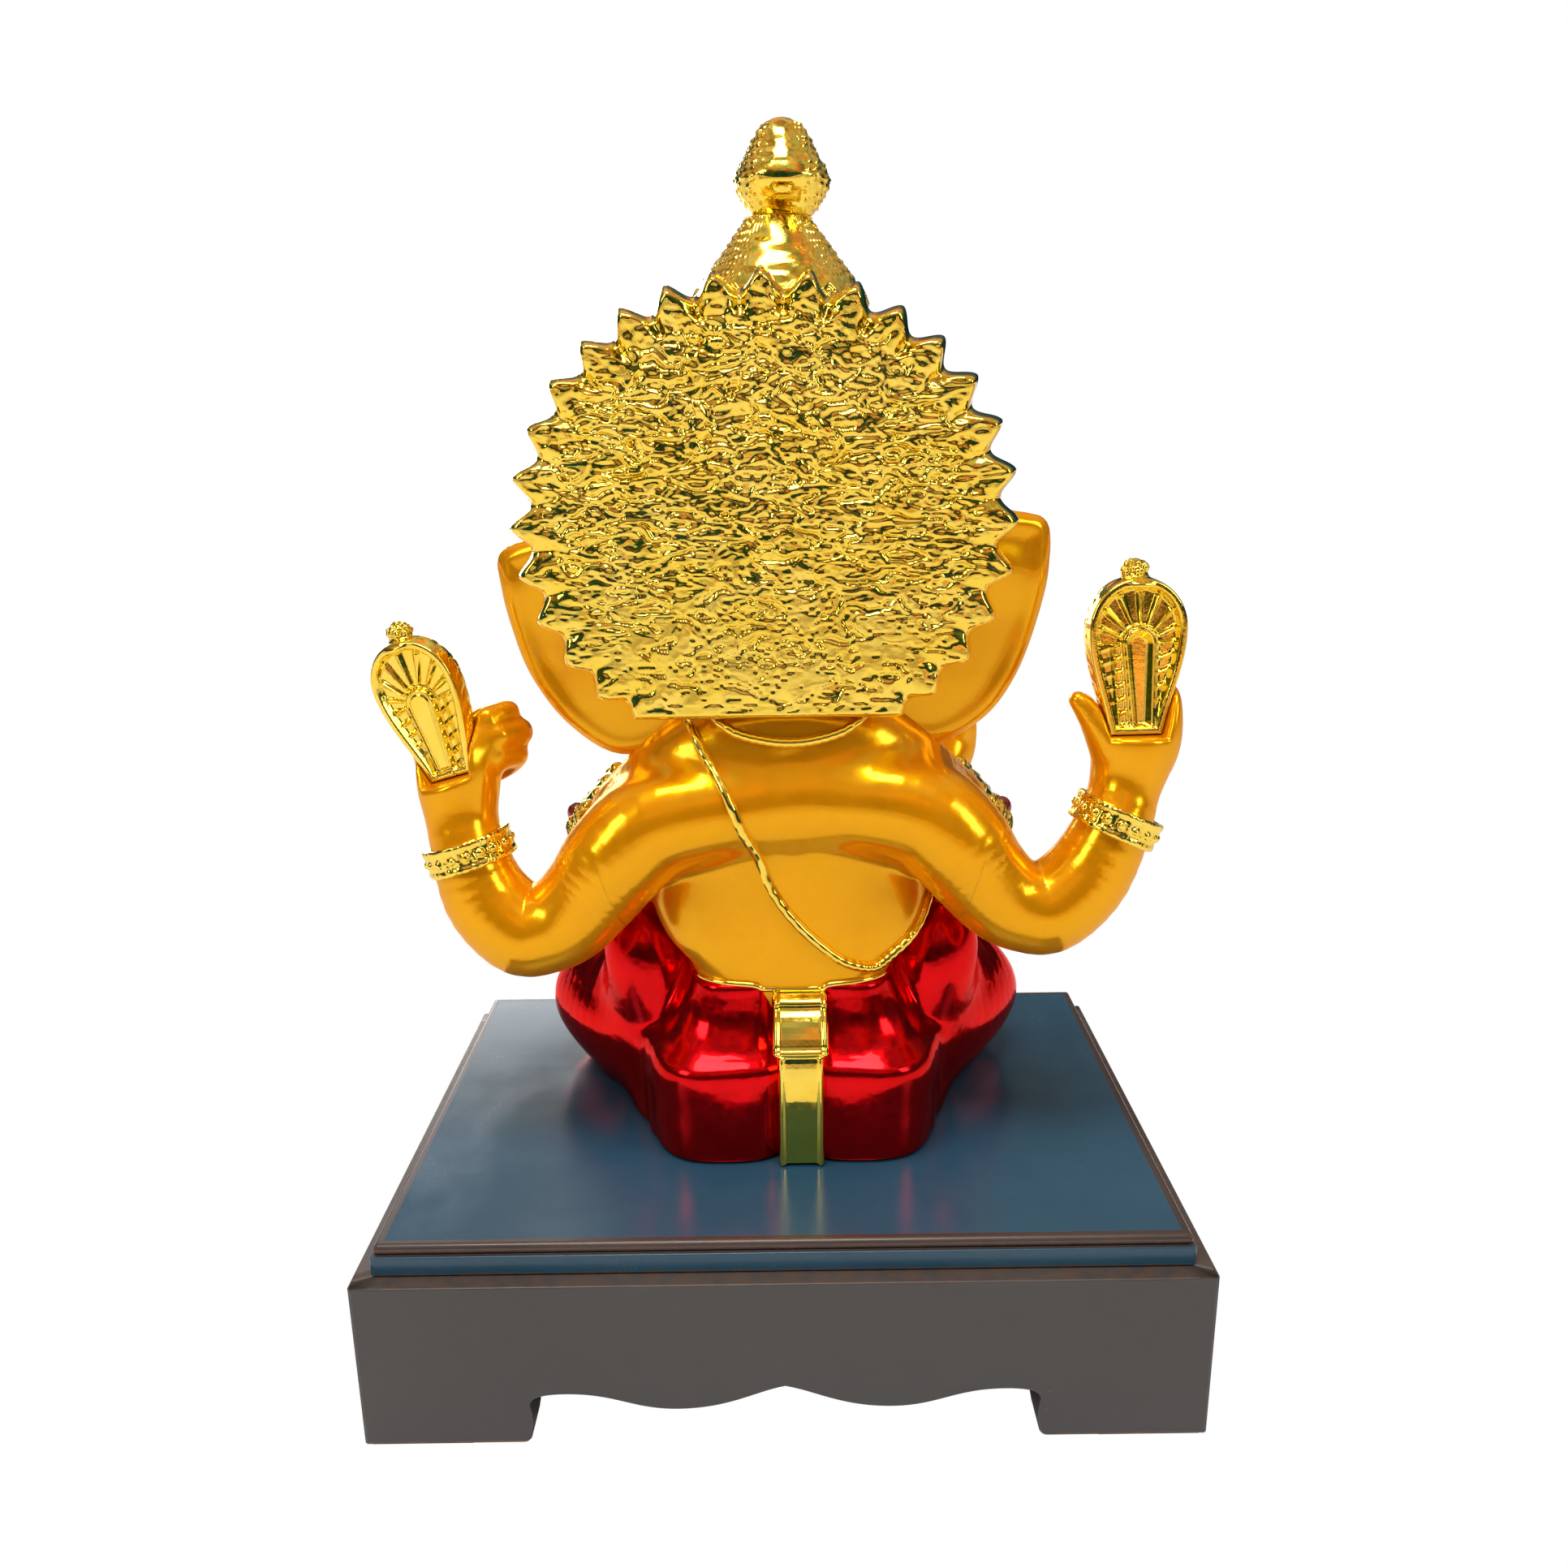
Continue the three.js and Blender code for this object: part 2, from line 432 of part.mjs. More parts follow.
const band = (at, along, radius, height) => rod(radius, height, at, along, 14);
const armletPlaque = (side) => ball([signOf(side) * 55.2, -4, 80.6], [3.8, 5, 6.8]);
const armletGem = (side, grow = 0) => ball([signOf(side) * 58.2, -4, 81.8], [2.8, 2.6, 2.6], grow, 8, 6);
function armlet(side) {
  const ring = band(seamAt(SHOULDER_SEAM.front, side), seamAt(FRONT_SPLIT, side), 14.8, 6.4);
  const outside = blockOn([signOf(side) * 46, 0, 75], [signOf(side), 0, 0], 60);
  return join(ring.intersect(outside), armletPlaque(side));
}

// Bowl and sweets, in the open left hand.
const BOWL = { at: [14, -54.5, 58.9], inner: [[8.8, 4.8], [4.4, 2.6]], sweets: [4.6, 4.6, 4.4] };
function bowl() {
  const outer = [[0, 0], [5, 0], [9.8, 3.4], [11.2, 7.6], [10, 8.2]];
  return lathe([...outer, ...BOWL.inner, [0, 2.4]], BOWL.at, 14);
}
function modaks() {
  const [x, y, z] = BOWL.at;
  const places = [[4, 3, 0], [-4, 3, 0], [0, -4.6, 0], [-0.5, 0.5, 4.6]];
  const heap = places.map(([dx, dy, dz]) => ball([x + dx, y + dy, z + 7.4 + dz], BOWL.sweets, 0, 8, 5));
  const lining = [[0, -6], [16, -6], [16, 7.4], [9.5, 7.9], [8.5, 5.1], [4.2, 2.9], [0, 2.7]];
  return cut(join(heap), lathe(lining, BOWL.at, 14));
}

// Lays a point on a solid: where a straight line from outside first meets it, lifted back a little.
function draper(target) {
  const data = target.getMesh();
  const geometry = new THREE.BufferGeometry();
  geometry.setAttribute("position", new THREE.BufferAttribute(data.vertProperties, 3));
  geometry.setIndex(new THREE.BufferAttribute(data.triVerts, 1));
  const surface = new THREE.Mesh(geometry, new THREE.MeshBasicMaterial({ side: THREE.DoubleSide }));
  const caster = new THREE.Raycaster();
  return (from, towards, lift = 0.7) => {
    const direction = vec(towards).sub(vec(from)).normalize();
    caster.set(vec(from), direction);
    return caster.intersectObject(surface)[0].point.addScaledVector(direction, -lift).toArray();
  };
}

const around = (count, place) => Array.from({ length: count }, (_, i) => place((i / count) * 2 * Math.PI));

// The sacred thread: over the left shoulder, down across the back to the right flank, and up the belly.
function threadPoints() {
  const lay = draper(torso());
  const bodyOnly = draper(limb(BODY, { level: true, across: [1, 0, 0], sides: 16, rings: 12 }));
  const back = [[24, 98], [17, 92], [10, 83], [4, 75], [-4, 64], [-13, 54.5], [-23, 52.5]].map(([x, z]) => lay([x, 90, z], [x, 0, z]));
  const flank = [[12, 57], [-3, 60], [-17, 63]].map(([y, z]) => bodyOnly([-90, y, z], [0, y - 2, z]));
  const front = [[-20, 67], [-9, 74], [2, 82], [12, 90], [20, 96]].map(([x, z]) => lay([x, -90, z], [x, 0, z]));
  return [...back, ...flank, ...front, lay([26, -3, 140], [25, -2, 90])];
}
const THREAD = threadPoints();
const thread = (grow = 0) => cord(THREAD, 1.4 + grow);

function necklace() {
  const lay = draper(limb(BODY, { level: true, across: [1, 0, 0], sides: 16, rings: 12 }));
  const ring = around(14, (turn) => {
    const z = 106.5 - 1.5 * Math.sin(turn) - 7 * Math.max(0, -Math.sin(turn)) ** 2;
    return lay([90 * Math.cos(turn), 4 + 90 * Math.sin(turn), z + 3], [0, 4, z - 3]);
  });
  const lowest = ring.reduce((a, b) => (b[1] < a[1] ? b : a));
  return join(cord(ring, 1.6), ball([0, lowest[1] - 0.4, lowest[2] - 6], [5.5, 3.4, 7.5]));
}

// The gold edge of the dhoti runs level round the waist, dips behind and rises over the thighs.
function waistBand() {
  const lay = draper(join(hips(), torso()));
  const ring = around(20, (turn) => {
    const z = 46 + 8 * Math.cos(turn) ** 4 - 4 * Math.max(0, -Math.sin(turn)) ** 2;
    return lay([90 * Math.cos(turn), 90 * Math.sin(turn), z], [0, 0, z], 0.9);
  });
  return cord(ring, 1.7);
}

// The gold tail of the dhoti hangs down behind, in the cleft between its two halves.
function rearSash() {
  const side = new THREE.Shape();
  side.moveTo(27.4, 43.6);
  side.lineTo(30.6, 40.4);
  side.bezierCurveTo(34.8, 37, 37.8, 31, 38, 25);
  side.bezierCurveTo(38.4, 15, 37.2, 6, 36.4, 0.4);
  side.lineTo(22, 0.4);
  side.lineTo(20, 43.6);
  side.closePath();
  const strip = new THREE.ExtrudeGeometry(side, { depth: 12.4, bevelEnabled: false, curveSegments: 5 });
  return solid(strip.rotateX(Math.PI / 2).rotateZ(Math.PI / 2).translate(-8.2, 0, 0));
}

// The pleat falls from under the belly between the shins.
const pleat = () => limb(
  [[0, -31, 43, 5, 4], [0, -37, 34, 7, 4], [0, -38, 24, 9, 4], [0, -36, 14, 10, 4]],
  { across: [1, 0, 0], sides: 10, rings: 8, square: 2.6 },
);

// ---- figure -------------------------------------------------------------------------------------
function castings() {
  const made = {};
  const pegs = SIDES.flatMap((side) => [rearPeg(side, GAP), frontPeg(side, GAP)]);
  const collar = neckPeg(0);
  made.torso = [join(cut(torso(), head(GAP), pegs), cut(collar, box(60, 60, 40, 0, 0, 90))), PEARL];
  const anchors = SIDES.map((side) => rod(SCREW.shank + GAP, 2 * SCREW.bite + 2, [signOf(side) * SCREW.x, SCREW.y, 0]));
  made.hips = [cut(hips(), torso(GAP), slabBelow(), anchors), RED];
  const tusks = SIDES.map((side) => tusk(side, GAP));
  const eyes = SIDES.map((side) => ball([signOf(side) * 15.5, -26.5, 143], [4.6, 3.4, 3], GAP, 10, 7));
  made.head = [cut(head(), neckPeg(GAP), tusks, eyes), PEARL];
  made.trunk = [cut(trunk(), head(GAP), torso(GAP), tusks), PEARL];
  for (const side of SIDES) {
    const other = side === "left" ? "right" : "left";
    const body = [torso(GAP), hips(GAP)];
    const held = emblem(GAP, poseOf(EMBLEM_POSE[side]));
    made[`rear_${side}_arm`] = [join(cut(join(rearArm(side), rearHand(side)), body, held), rearPeg(side, 0)), PEARL];
    const lower = cut(join(frontArm(side), frontHand(side)), body, leg(side, GAP), rearArm(side, GAP), thread(GAP));
    made[`front_${side}_arm`] = [join(lower, frontPeg(side, 0)), PEARL];
    made[`${side}_leg`] = [cut(leg(side), body, foot(side, GAP), slabBelow()), RED];
    made[`${side}_foot`] = [cut(foot(side), slabBelow()), PEARL];
    made[`${side}_tusk`] = [tusk(side), IVORY];
    made[`${side}_eye`] = [ball([signOf(side) * 15.5, -26.5, 143], [4.6, 3.4, 3], 0, 10, 7), ENAMEL];
    const spread = (x, z) => -8 * (Math.max(0, Math.abs(x) - 34) / 37) ** 2 - 3 * Math.max(0, (122 - z) / 22) ** 2;
    const outline = side === "left" ? EAR.left : [...EAR.right].reverse();
    const shell = pillow(outline, [signOf(side) * 42, 8, 132], 6.5, spread);
    made[`${side}_ear`] = [cut(shell, head(GAP), torso(GAP)), PEARL];
    made[`${side}_anklet`] = [
      cut(band(ANKLE[side], [1, 0, 0], 9.8, 4.4), leg(side, GAP), foot(side, GAP), foot(other, GAP), leg(other, GAP), slabBelow()),
      GOLD,
    ];
    const wrist = REAR_WRIST[side];
    made[`rear_${side}_bangle`] = [cut(band(wrist.at, wrist.along, 11.3, 5.6), rearArm(side, GAP)), GOLD];
    const cuff = FRONT_WRIST[side];
    const clear = [frontArm(side, GAP), leg(side, GAP), hips(GAP), torso(GAP)];
    made[`front_${side}_bangle`] = [cut(band(cuff.at, cuff.along, 10, 5), clear), GOLD];
    const ringClear = [torso(GAP), frontArm(side, GAP), rearArm(side, GAP), armletGem(side, GAP)];
    made[`${side}_armlet`] = [cut(armlet(side), ringClear), GOLD];
    made[`${side}_armlet_gem`] = [cut(armletGem(side), torso(GAP)), GEM];
  }
  return made;
}

function dressing() {
  const body = [torso(GAP), hips(GAP)];
  const feet = SIDES.flatMap((side) => [leg(side, GAP), foot(side, GAP)]);
  return {
    front_pleat: [cut(pleat(), body, feet), GOLD],
    rear_sash: [cut(rearSash(), body), GOLD],
    waist_band: [cut(waistBand(), body), GOLD],
    sacred_thread: [cut(thread(), body, head(GAP)), GOLD],
    necklace: [cut(necklace(), torso(GAP), head(GAP), trunk(GAP), thread(GAP)), GOLD],
    modak_bowl: [cut(bowl(), trunk(GAP)), GOLD],
    modaks: [cut(modaks(), trunk(GAP)), PEARL],
    crown_plate: [cut(crownPlate(), crownBand(GAP), crownDome(GAP), head(GAP)), GOLD],
    crown_band: [cut(crownBand(), head(GAP)), GOLD],
    crown_dome: [cut(crownDome(), head(GAP), finialPeg(GAP)), GOLD],
    crown_finial: [crownFinial().add(finialPeg(0)), GOLD],
    crown_crest: [cut(crownCrest(), crownBand(GAP), crownDome(GAP), crestGem(GAP), head(GAP)), GOLD],
    crown_gem: [crestGem(), GEM],
  };
}

// ---- assembly -----------------------------------------------------------------------------------
function mesh(name, [shape, look]) {
  const data = shape.getMesh();
  const geometry = new THREE.BufferGeometry();
  geometry.setAttribute("position", new THREE.BufferAttribute(new Float32Array(data.vertProperties), 3));
  geometry.setIndex(new THREE.BufferAttribute(new Uint32Array(data.triVerts), 1));
  geometry.computeVertexNormals();
  const made = new THREE.Mesh(geometry, finish(...look));
  made.name = name;
  return made;
}

function plinth() {
  const group = new THREE.Group();
  const { width, depth, board, block } = PLINTH;
  const walls = [["back", 0, width, depth], ["right", 1, depth, width], ["front", 2, width, depth], ["left", 3, depth, width]];
  for (const [name, quarter, length, across] of walls) {
    const wall = mesh(`apron_${name}`, [apron(length), LACQUER]);
    const stand = new THREE.Group();
    wall.position.y = across / 2;
    stand.rotation.z = (quarter * Math.PI) / 2;
    group.add(stand.add(wall));
  }
  group.add(mesh("deck_board", [deckBoard(), RAW_WOOD]));
  group.add(mesh("top_slab", [topSlab(), LACQUER]));
  const tall = deckTop - DECK - 2 * GAP - CUTOUT.hump;
  for (const [name, sx, sy] of [["back_left", 1, 1], ["back_right", -1, 1], ["front_left", 1, -1], ["front_right", -1, -1]]) {
    const corner = mesh(`corner_block_${name}`, [box(block, block, tall, 0, 0, 0), RAW_WOOD]);
    const inset = board + GAP + block / 2;
    corner.position.set(sx * (width / 2 - inset), sy * (depth / 2 - inset), CUTOUT.hump + tall / 2);
    group.add(corner);
    group.add(mesh(`foot_pad_${name}`, [footPad(sx, sy), FELT]));
  }
  for (const side of SIDES) group.add(mesh(`fixing_screw_${side}`, [fixingScrew(side), STEEL]));
  return group;
}

function figure() {
  const group = new THREE.Group();
  group.position.set(FIGURE_OFFSET, 0, slabTop);
  for (const [name, piece] of Object.entries({ ...castings(), ...dressing() })) group.add(mesh(name, piece));
  for (const side of SIDES) {
    const held = mesh(`${side}_emblem`, [emblem(), GOLD]);
    held.applyMatrix4(poseOf(EMBLEM_POSE[side]));
    group.add(held);
  }
  return group;
}

const showpiece = new THREE.Group();
showpiece.add(plinth(), figure());

export default showpiece;
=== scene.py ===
"""A seated Ganesha showpiece on its wooden plinth: the visual model, looks, light and camera.

Shapes are sculpted as distance fields in the figure's own frame (millimetres, x from the spine towards
the figure's left, y backwards, z from the top of the slab), meshed, and placed by the CAD boxes."""
import json
import math
import bpy
import bmesh
import numpy as np
from mathutils import Vector, Matrix, Quaternion


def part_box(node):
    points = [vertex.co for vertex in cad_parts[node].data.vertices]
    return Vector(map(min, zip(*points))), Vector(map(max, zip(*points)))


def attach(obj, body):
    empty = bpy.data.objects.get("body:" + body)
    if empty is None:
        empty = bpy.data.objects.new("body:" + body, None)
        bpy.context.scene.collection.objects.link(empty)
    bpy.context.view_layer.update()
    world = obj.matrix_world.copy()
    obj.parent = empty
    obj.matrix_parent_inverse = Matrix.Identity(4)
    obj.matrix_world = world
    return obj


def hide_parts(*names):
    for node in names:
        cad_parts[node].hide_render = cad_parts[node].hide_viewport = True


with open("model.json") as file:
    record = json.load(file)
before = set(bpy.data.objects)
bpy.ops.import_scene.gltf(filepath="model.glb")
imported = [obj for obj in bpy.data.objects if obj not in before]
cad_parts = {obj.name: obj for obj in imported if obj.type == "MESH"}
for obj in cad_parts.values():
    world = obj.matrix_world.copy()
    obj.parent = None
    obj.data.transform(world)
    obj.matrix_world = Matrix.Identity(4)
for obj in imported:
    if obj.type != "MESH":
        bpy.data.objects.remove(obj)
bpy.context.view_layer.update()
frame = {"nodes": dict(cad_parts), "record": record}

FINE = 1.0  # mesh spacing multiplier
MM = 0.001

slab_lo, slab_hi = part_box("top_slab")
dome_lo, dome_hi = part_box("crown_dome")
# The figure's frame: its spine stands 1 mm right of the crown's axis and 4 mm behind it.
ORIGIN = np.array([(dome_lo.x + dome_hi.x) / 2 - 0.001, (dome_lo.y + dome_hi.y) / 2 + 0.004, slab_hi.z]) / MM


# ---- fields -------------------------------------------------------------------------------------
def smin(a, b, k):
    h = np.maximum(k - np.abs(a - b), 0.0) / k
    return np.minimum(a, b) - h * h * k * 0.25


def smax(a, b, k):
    return -smin(-a, -b, k)


def union(P, parts, k):
    d = parts[0](P)
    for part in parts[1:]:
        d = smin(d, part(P), k)
    return d


def step(lo, hi, v):
    t = np.clip((v - lo) / (hi - lo), 0.0, 1.0)
    return t * t * (3 - 2 * t)


def spline(stations, count):
    """Catmull-Rom samples through the stations, every column alike."""
    S = np.array(stations, float)
    n = len(S)
    t = np.linspace(0, n - 1, count)
    i = np.minimum(t.astype(int), n - 2)
    u = (t - i)[:, None]
    p0, p1, p2, p3 = S[np.maximum(i - 1, 0)], S[i], S[i + 1], S[np.minimum(i + 2, n - 1)]
    return 0.5 * (2 * p1 + (p2 - p0) * u + (2 * p0 - 5 * p1 + 4 * p2 - p3) * u ** 2 + (3 * p1 - p0 - 3 * p2 + p3) * u ** 3)


def curve1(table):
    """A smooth function through (place, value...) rows."""
    T = spline(table, 24 * len(table))
    T = T[np.argsort(T[:, 0])]
    return lambda x: [np.interp(x, T[:, 0], T[:, j]) for j in range(1, T.shape[1])]


def turned_by(turn):
    """Rotation matrix for turns about x, then y, then z, in degrees."""
    x, y, z = [Matrix.Rotation(math.radians(a), 3, axis) for a, axis in zip(turn, "XYZ")]
    return np.array(z @ y @ x)


def ellipsoid(centre, radii, turn=(0, 0, 0)):
    c, r = np.array(centre, float), np.array(radii, float)
    R = turned_by(turn)

    def f(P):
        q = (P - c) @ R
        k0 = np.linalg.norm(q / r, axis=1)
        k1 = np.linalg.norm(q / (r * r), axis=1)
        return k0 * (k0 - 1) / np.maximum(k1, 1e-6)
    return f


def tube(stations, count=None, reach=14.0):
    """A limb through [x, y, z, radius] stations, as a chain of fine round cones."""
    S = spline(stations, count or 7 * len(stations))
    C, R = S[:, :3], S[:, 3]
    lo, hi = (C - R[:, None]).min(0) - reach, (C + R[:, None]).max(0) + reach

    def f(P):
        d = np.full(len(P), 60.0)
        near = np.flatnonzero(((P > lo) & (P < hi)).all(1))
        Q = P[near]
        best = np.full(len(Q), 60.0)
        for a, b, ra, rb in zip(C[:-1], C[1:], R[:-1], R[1:]):
            ab = b - a
            t = np.clip(((Q - a) @ ab) / max(ab @ ab, 1e-9), 0, 1)
            v = Q - a - t[:, None] * ab
            best = np.minimum(best, np.sqrt(np.einsum("ij,ij->i", v, v)) - ra - t * (rb - ra))
        d[near] = best
        return d
    return f


def half_space(point, normal):
    n = np.array(normal, float) / np.linalg.norm(normal)
    p = np.array(point, float)
    return lambda P: (P - p) @ n


def hash3(i, j, k, seed):
    h = (i * 374761393 + j * 668265263 + k * 2147483647 + seed * 1274126177) & 0xFFFFFFFF
    h = ((h ^ (h >> 13)) * 1274126177) & 0xFFFFFFFF
    return ((h ^ (h >> 16)) & 0xFFFF) / 65535.0 * 2 - 1


def noise(P, seed=0):
    """Smooth value noise in -1..1 at unit spacing."""
    P = np.asarray(P, float)
    i = np.floor(P).astype(np.int64)
    f = P - i
    u = f * f * f * (f * (f * 6 - 15) + 10)
    total = 0.0
    for a in (0, 1):
        wa = u[:, 0] if a else 1 - u[:, 0]
        for b in (0, 1):
            wb = u[:, 1] if b else 1 - u[:, 1]
            for c in (0, 1):
                wc = u[:, 2] if c else 1 - u[:, 2]
                total = total + wa * wb * wc * hash3(i[:, 0] + a, i[:, 1] + b, i[:, 2] + c, seed)
    return total


# ---- meshing ------------------------------------------------------------------------------------
def gradient(field, V, eps=0.04):
    G = np.empty_like(V)
    for a in range(3):
        e = np.zeros(3)
        e[a] = eps
        G[:, a] = (field(V + e) - field(V - e)) / (2 * eps)
    return G


def project(field, V, rounds=3, limit=0.6):
    for _ in range(rounds):
        f = field(V)
        G = gradient(field, V)
        g2 = np.maximum(np.einsum("ij,ij->i", G, G), 0.05)
        move = -(f / g2)[:, None] * G
        size = np.linalg.norm(move, axis=1, keepdims=True)
        V = V + move * np.minimum(1, limit / np.maximum(size, 1e-9))
    return V


def sample(field, lo, hi, h, block=4):
    """The field on a fine grid, worked out only near its surface."""
    lo, hi = np.array(lo, float), np.array(hi, float)
    coarse = np.ceil((hi - lo) / (h * block)).astype(int) + 1
    grid = np.stack(np.meshgrid(*[lo[a] + np.arange(coarse[a]) * h * block for a in range(3)], indexing="ij"), -1)
    fc = field(grid.reshape(-1, 3)).reshape(coarse)
    fine = (coarse - 1) * block + 1
    index = [np.minimum((np.arange(fine[a]) + block // 2) // block, coarse[a] - 1) for a in range(3)]
    F = fc[np.ix_(*index)].copy()
    near = np.abs(fc) < h * block * 2.0
    active = np.zeros(coarse - 1, bool)
    for x in (0, 1):
        for y in (0, 1):
            for z in (0, 1):
                active |= near[x:coarse[0] - 1 + x, y:coarse[1] - 1 + y, z:coarse[2] - 1 + z]
    wide = active.repeat(block, 0).repeat(block, 1).repeat(block, 2)
    mask = np.zeros(fine, bool)
    for x in (0, 1):
        for y in (0, 1):
            for z in (0, 1):
                mask[x:wide.shape[0] + x, y:wide.shape[1] + y, z:wide.shape[2] + z] |= wide
    at = np.argwhere(mask)
    F[mask] = field(lo + at * h)
    # the outermost layer counts as outside, so that every mesh closes
    for a in range(3):
        edge = [slice(None)] * 3
        for side in (0, -1):
            edge[a] = side
            F[tuple(edge)] = np.maximum(F[tuple(edge)], 0.5)
    return F, lo


CORNERS = np.array([[x, y, z] for x in (0, 1) for y in (0, 1) for z in (0, 1)])
EDGES = [(a, b) for a in range(8) for b in range(a + 1, 8) if np.abs(CORNERS[a] - CORNERS[b]).sum() == 1]


def surface_net(F, lo, h):
    inside = F < 0
    count = sum(inside[x:inside.shape[0] - 1 + x, y:inside.shape[1] - 1 + y, z:inside.shape[2] - 1 + z].astype(np.int8)
                for x, y, z in CORNERS)
    active = (count > 0) & (count < 8)
    cells = np.argwhere(active)
    number = np.full(active.shape, -1, np.int64)
    number[active] = np.arange(len(cells))
    values = np.stack([F[tuple((cells + c).T)] for c in CORNERS], 1)
    total, hits = np.zeros((len(cells), 3)), np.zeros(len(cells))
    for a, b in EDGES:
        crosses = (values[:, a] < 0) != (values[:, b] < 0)
        t = values[crosses, a] / (values[crosses, a] - values[crosses, b])
        total[crosses] += CORNERS[a] + t[:, None] * (CORNERS[b] - CORNERS[a])
        hits[crosses] += 1
    V = lo + h * (cells + total / hits[:, None])
    quads = []
    for a in range(3):
        b, c = (a + 1) % 3, (a + 2) % 3
        first = [slice(1, -1)] * 3
        second = [slice(1, -1)] * 3
        first[a], second[a] = slice(0, -1), slice(1, None)
        s0, s1 = inside[tuple(first)], inside[tuple(second)]
        at = np.argwhere(s0 != s1)
        leaving = s0[tuple(at.T)]
        at[:, b] += 1
        at[:, c] += 1
        ring = []
        for db, dc in ((-1, -1), (0, -1), (0, 0), (-1, 0)):
            cell = at.copy()
            cell[:, b] += db
            cell[:, c] += dc
            ring.append(number[tuple(cell.T)])
        quad = np.stack(ring, 1)
        quad[~leaving] = quad[~leaving][:, ::-1]
        quads.append(quad)
    return V, np.concatenate(quads)


def relax(field, V, Q, rounds):
    """Evens the quads out along the surface."""
    a, b = Q.ravel(), np.roll(Q, -1, 1).ravel()
    n = len(V)
    for _ in range(rounds):
        weight = np.bincount(a, minlength=n) + np.bincount(b, minlength=n)
        mean = np.stack([np.bincount(a, V[b, k], n) + np.bincount(b, V[a, k], n) for k in range(3)], 1) / np.maximum(weight, 1)[:, None]
        G = gradient(field, V)
        G /= np.maximum(np.linalg.norm(G, axis=1, keepdims=True), 1e-6)
        move = mean - V
        move -= np.einsum("ij,ij->i", move, G)[:, None] * G
        V = project(field, V + 0.6 * move, 1)
    return V


def sculpt(field, lo, hi, h, rounds=2):
    h = h * FINE
    F, lo = sample(field, lo, hi, h)
    V, Q = surface_net(F, lo, h)
    V = project(field, V, 2, h)
    V = relax(field, V, Q, rounds)
    V = project(field, V, 2, h)
    N = gradient(field, V)
    N /= np.maximum(np.linalg.norm(N, axis=1, keepdims=True), 1e-6)
    return V, Q, N


# ---- pieces -------------------------------------------------------------------------------------
def new_mesh(name, V, Q, N=None, tris=None, world=False):
    """A mesh from vertices in figure millimetres (or metres in the row frame) and quads, with smooth normals N."""
    V = np.asarray(V, float)
    W = V if world else (V + ORIGIN) * MM
    me = bpy.data.meshes.new(name)
    faces = [np.asarray(Q, np.int64).ravel()]
    totals = [np.full(len(Q), 4)]
    if tris is not None and len(tris):
        faces.append(np.asarray(tris, np.int64).ravel())
        totals.append(np.full(len(tris), 3))
    loops = np.concatenate(faces)
    sizes = np.concatenate(totals)
    starts = np.concatenate([[0], np.cumsum(sizes)[:-1]])
    me.vertices.add(len(W))
    me.vertices.foreach_set("co", W.astype(np.float32).ravel())
    me.loops.add(len(loops))
    me.loops.foreach_set("vertex_index", loops.astype(np.int32))
    me.polygons.add(len(sizes))
    me.polygons.foreach_set("loop_start", starts.astype(np.int32))
    me.update(calc_edges=True)
    me.validate()
    me.polygons.foreach_set("use_smooth", np.ones(len(me.polygons), bool))
    if N is not None and len(me.vertices) == len(N):
        me.normals_split_custom_set_from_vertices(N.astype(np.float32))
    return me


def piece(name, me, material, slot, *nodes):
    ob = bpy.data.objects.new(name, me)
    bpy.context.scene.collection.objects.link(ob)
    me.materials.clear()
    for m in material if isinstance(material, (list, tuple)) else [material]:
        me.materials.append(m)
    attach(ob, "root")
    if nodes:
        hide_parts(*nodes)
    return ob


def sculpted(name, field, lo, hi, h, material, slot, *nodes, rounds=2):
    V, Q, N = sculpt(field, lo, hi, h, rounds)
    return piece(name, new_mesh(name, V, Q, N), material, slot, *(nodes or (name,)))


def grid_mesh(name, P, closed_u=True, cap_ends=True):
    """A mesh over a grid of points P[u, v]; u runs round, v runs from end to end."""
    nu, nv = P.shape[:2]
    V = P.reshape(-1, 3)
    u = np.arange(nu if closed_u else nu - 1)
    v = np.arange(nv - 1)
    U, W = np.meshgrid(u, v, indexing="ij")
    U2 = (U + 1) % nu
    Q = np.stack([U * nv + W, U2 * nv + W, U2 * nv + W + 1, U * nv + W + 1], -1).reshape(-1, 4)
    tris = []
    if cap_ends:
        centres = [P[:, 0].mean(0), P[:, -1].mean(0)]
        V = np.concatenate([V, centres])
        for i in range(nu):
            j = (i + 1) % nu
            tris.append((len(V) - 2, j * nv, i * nv))
            tris.append((len(V) - 1, i * nv + nv - 1, j * nv + nv - 1))
    return V, Q, np.array(tris) if tris else None


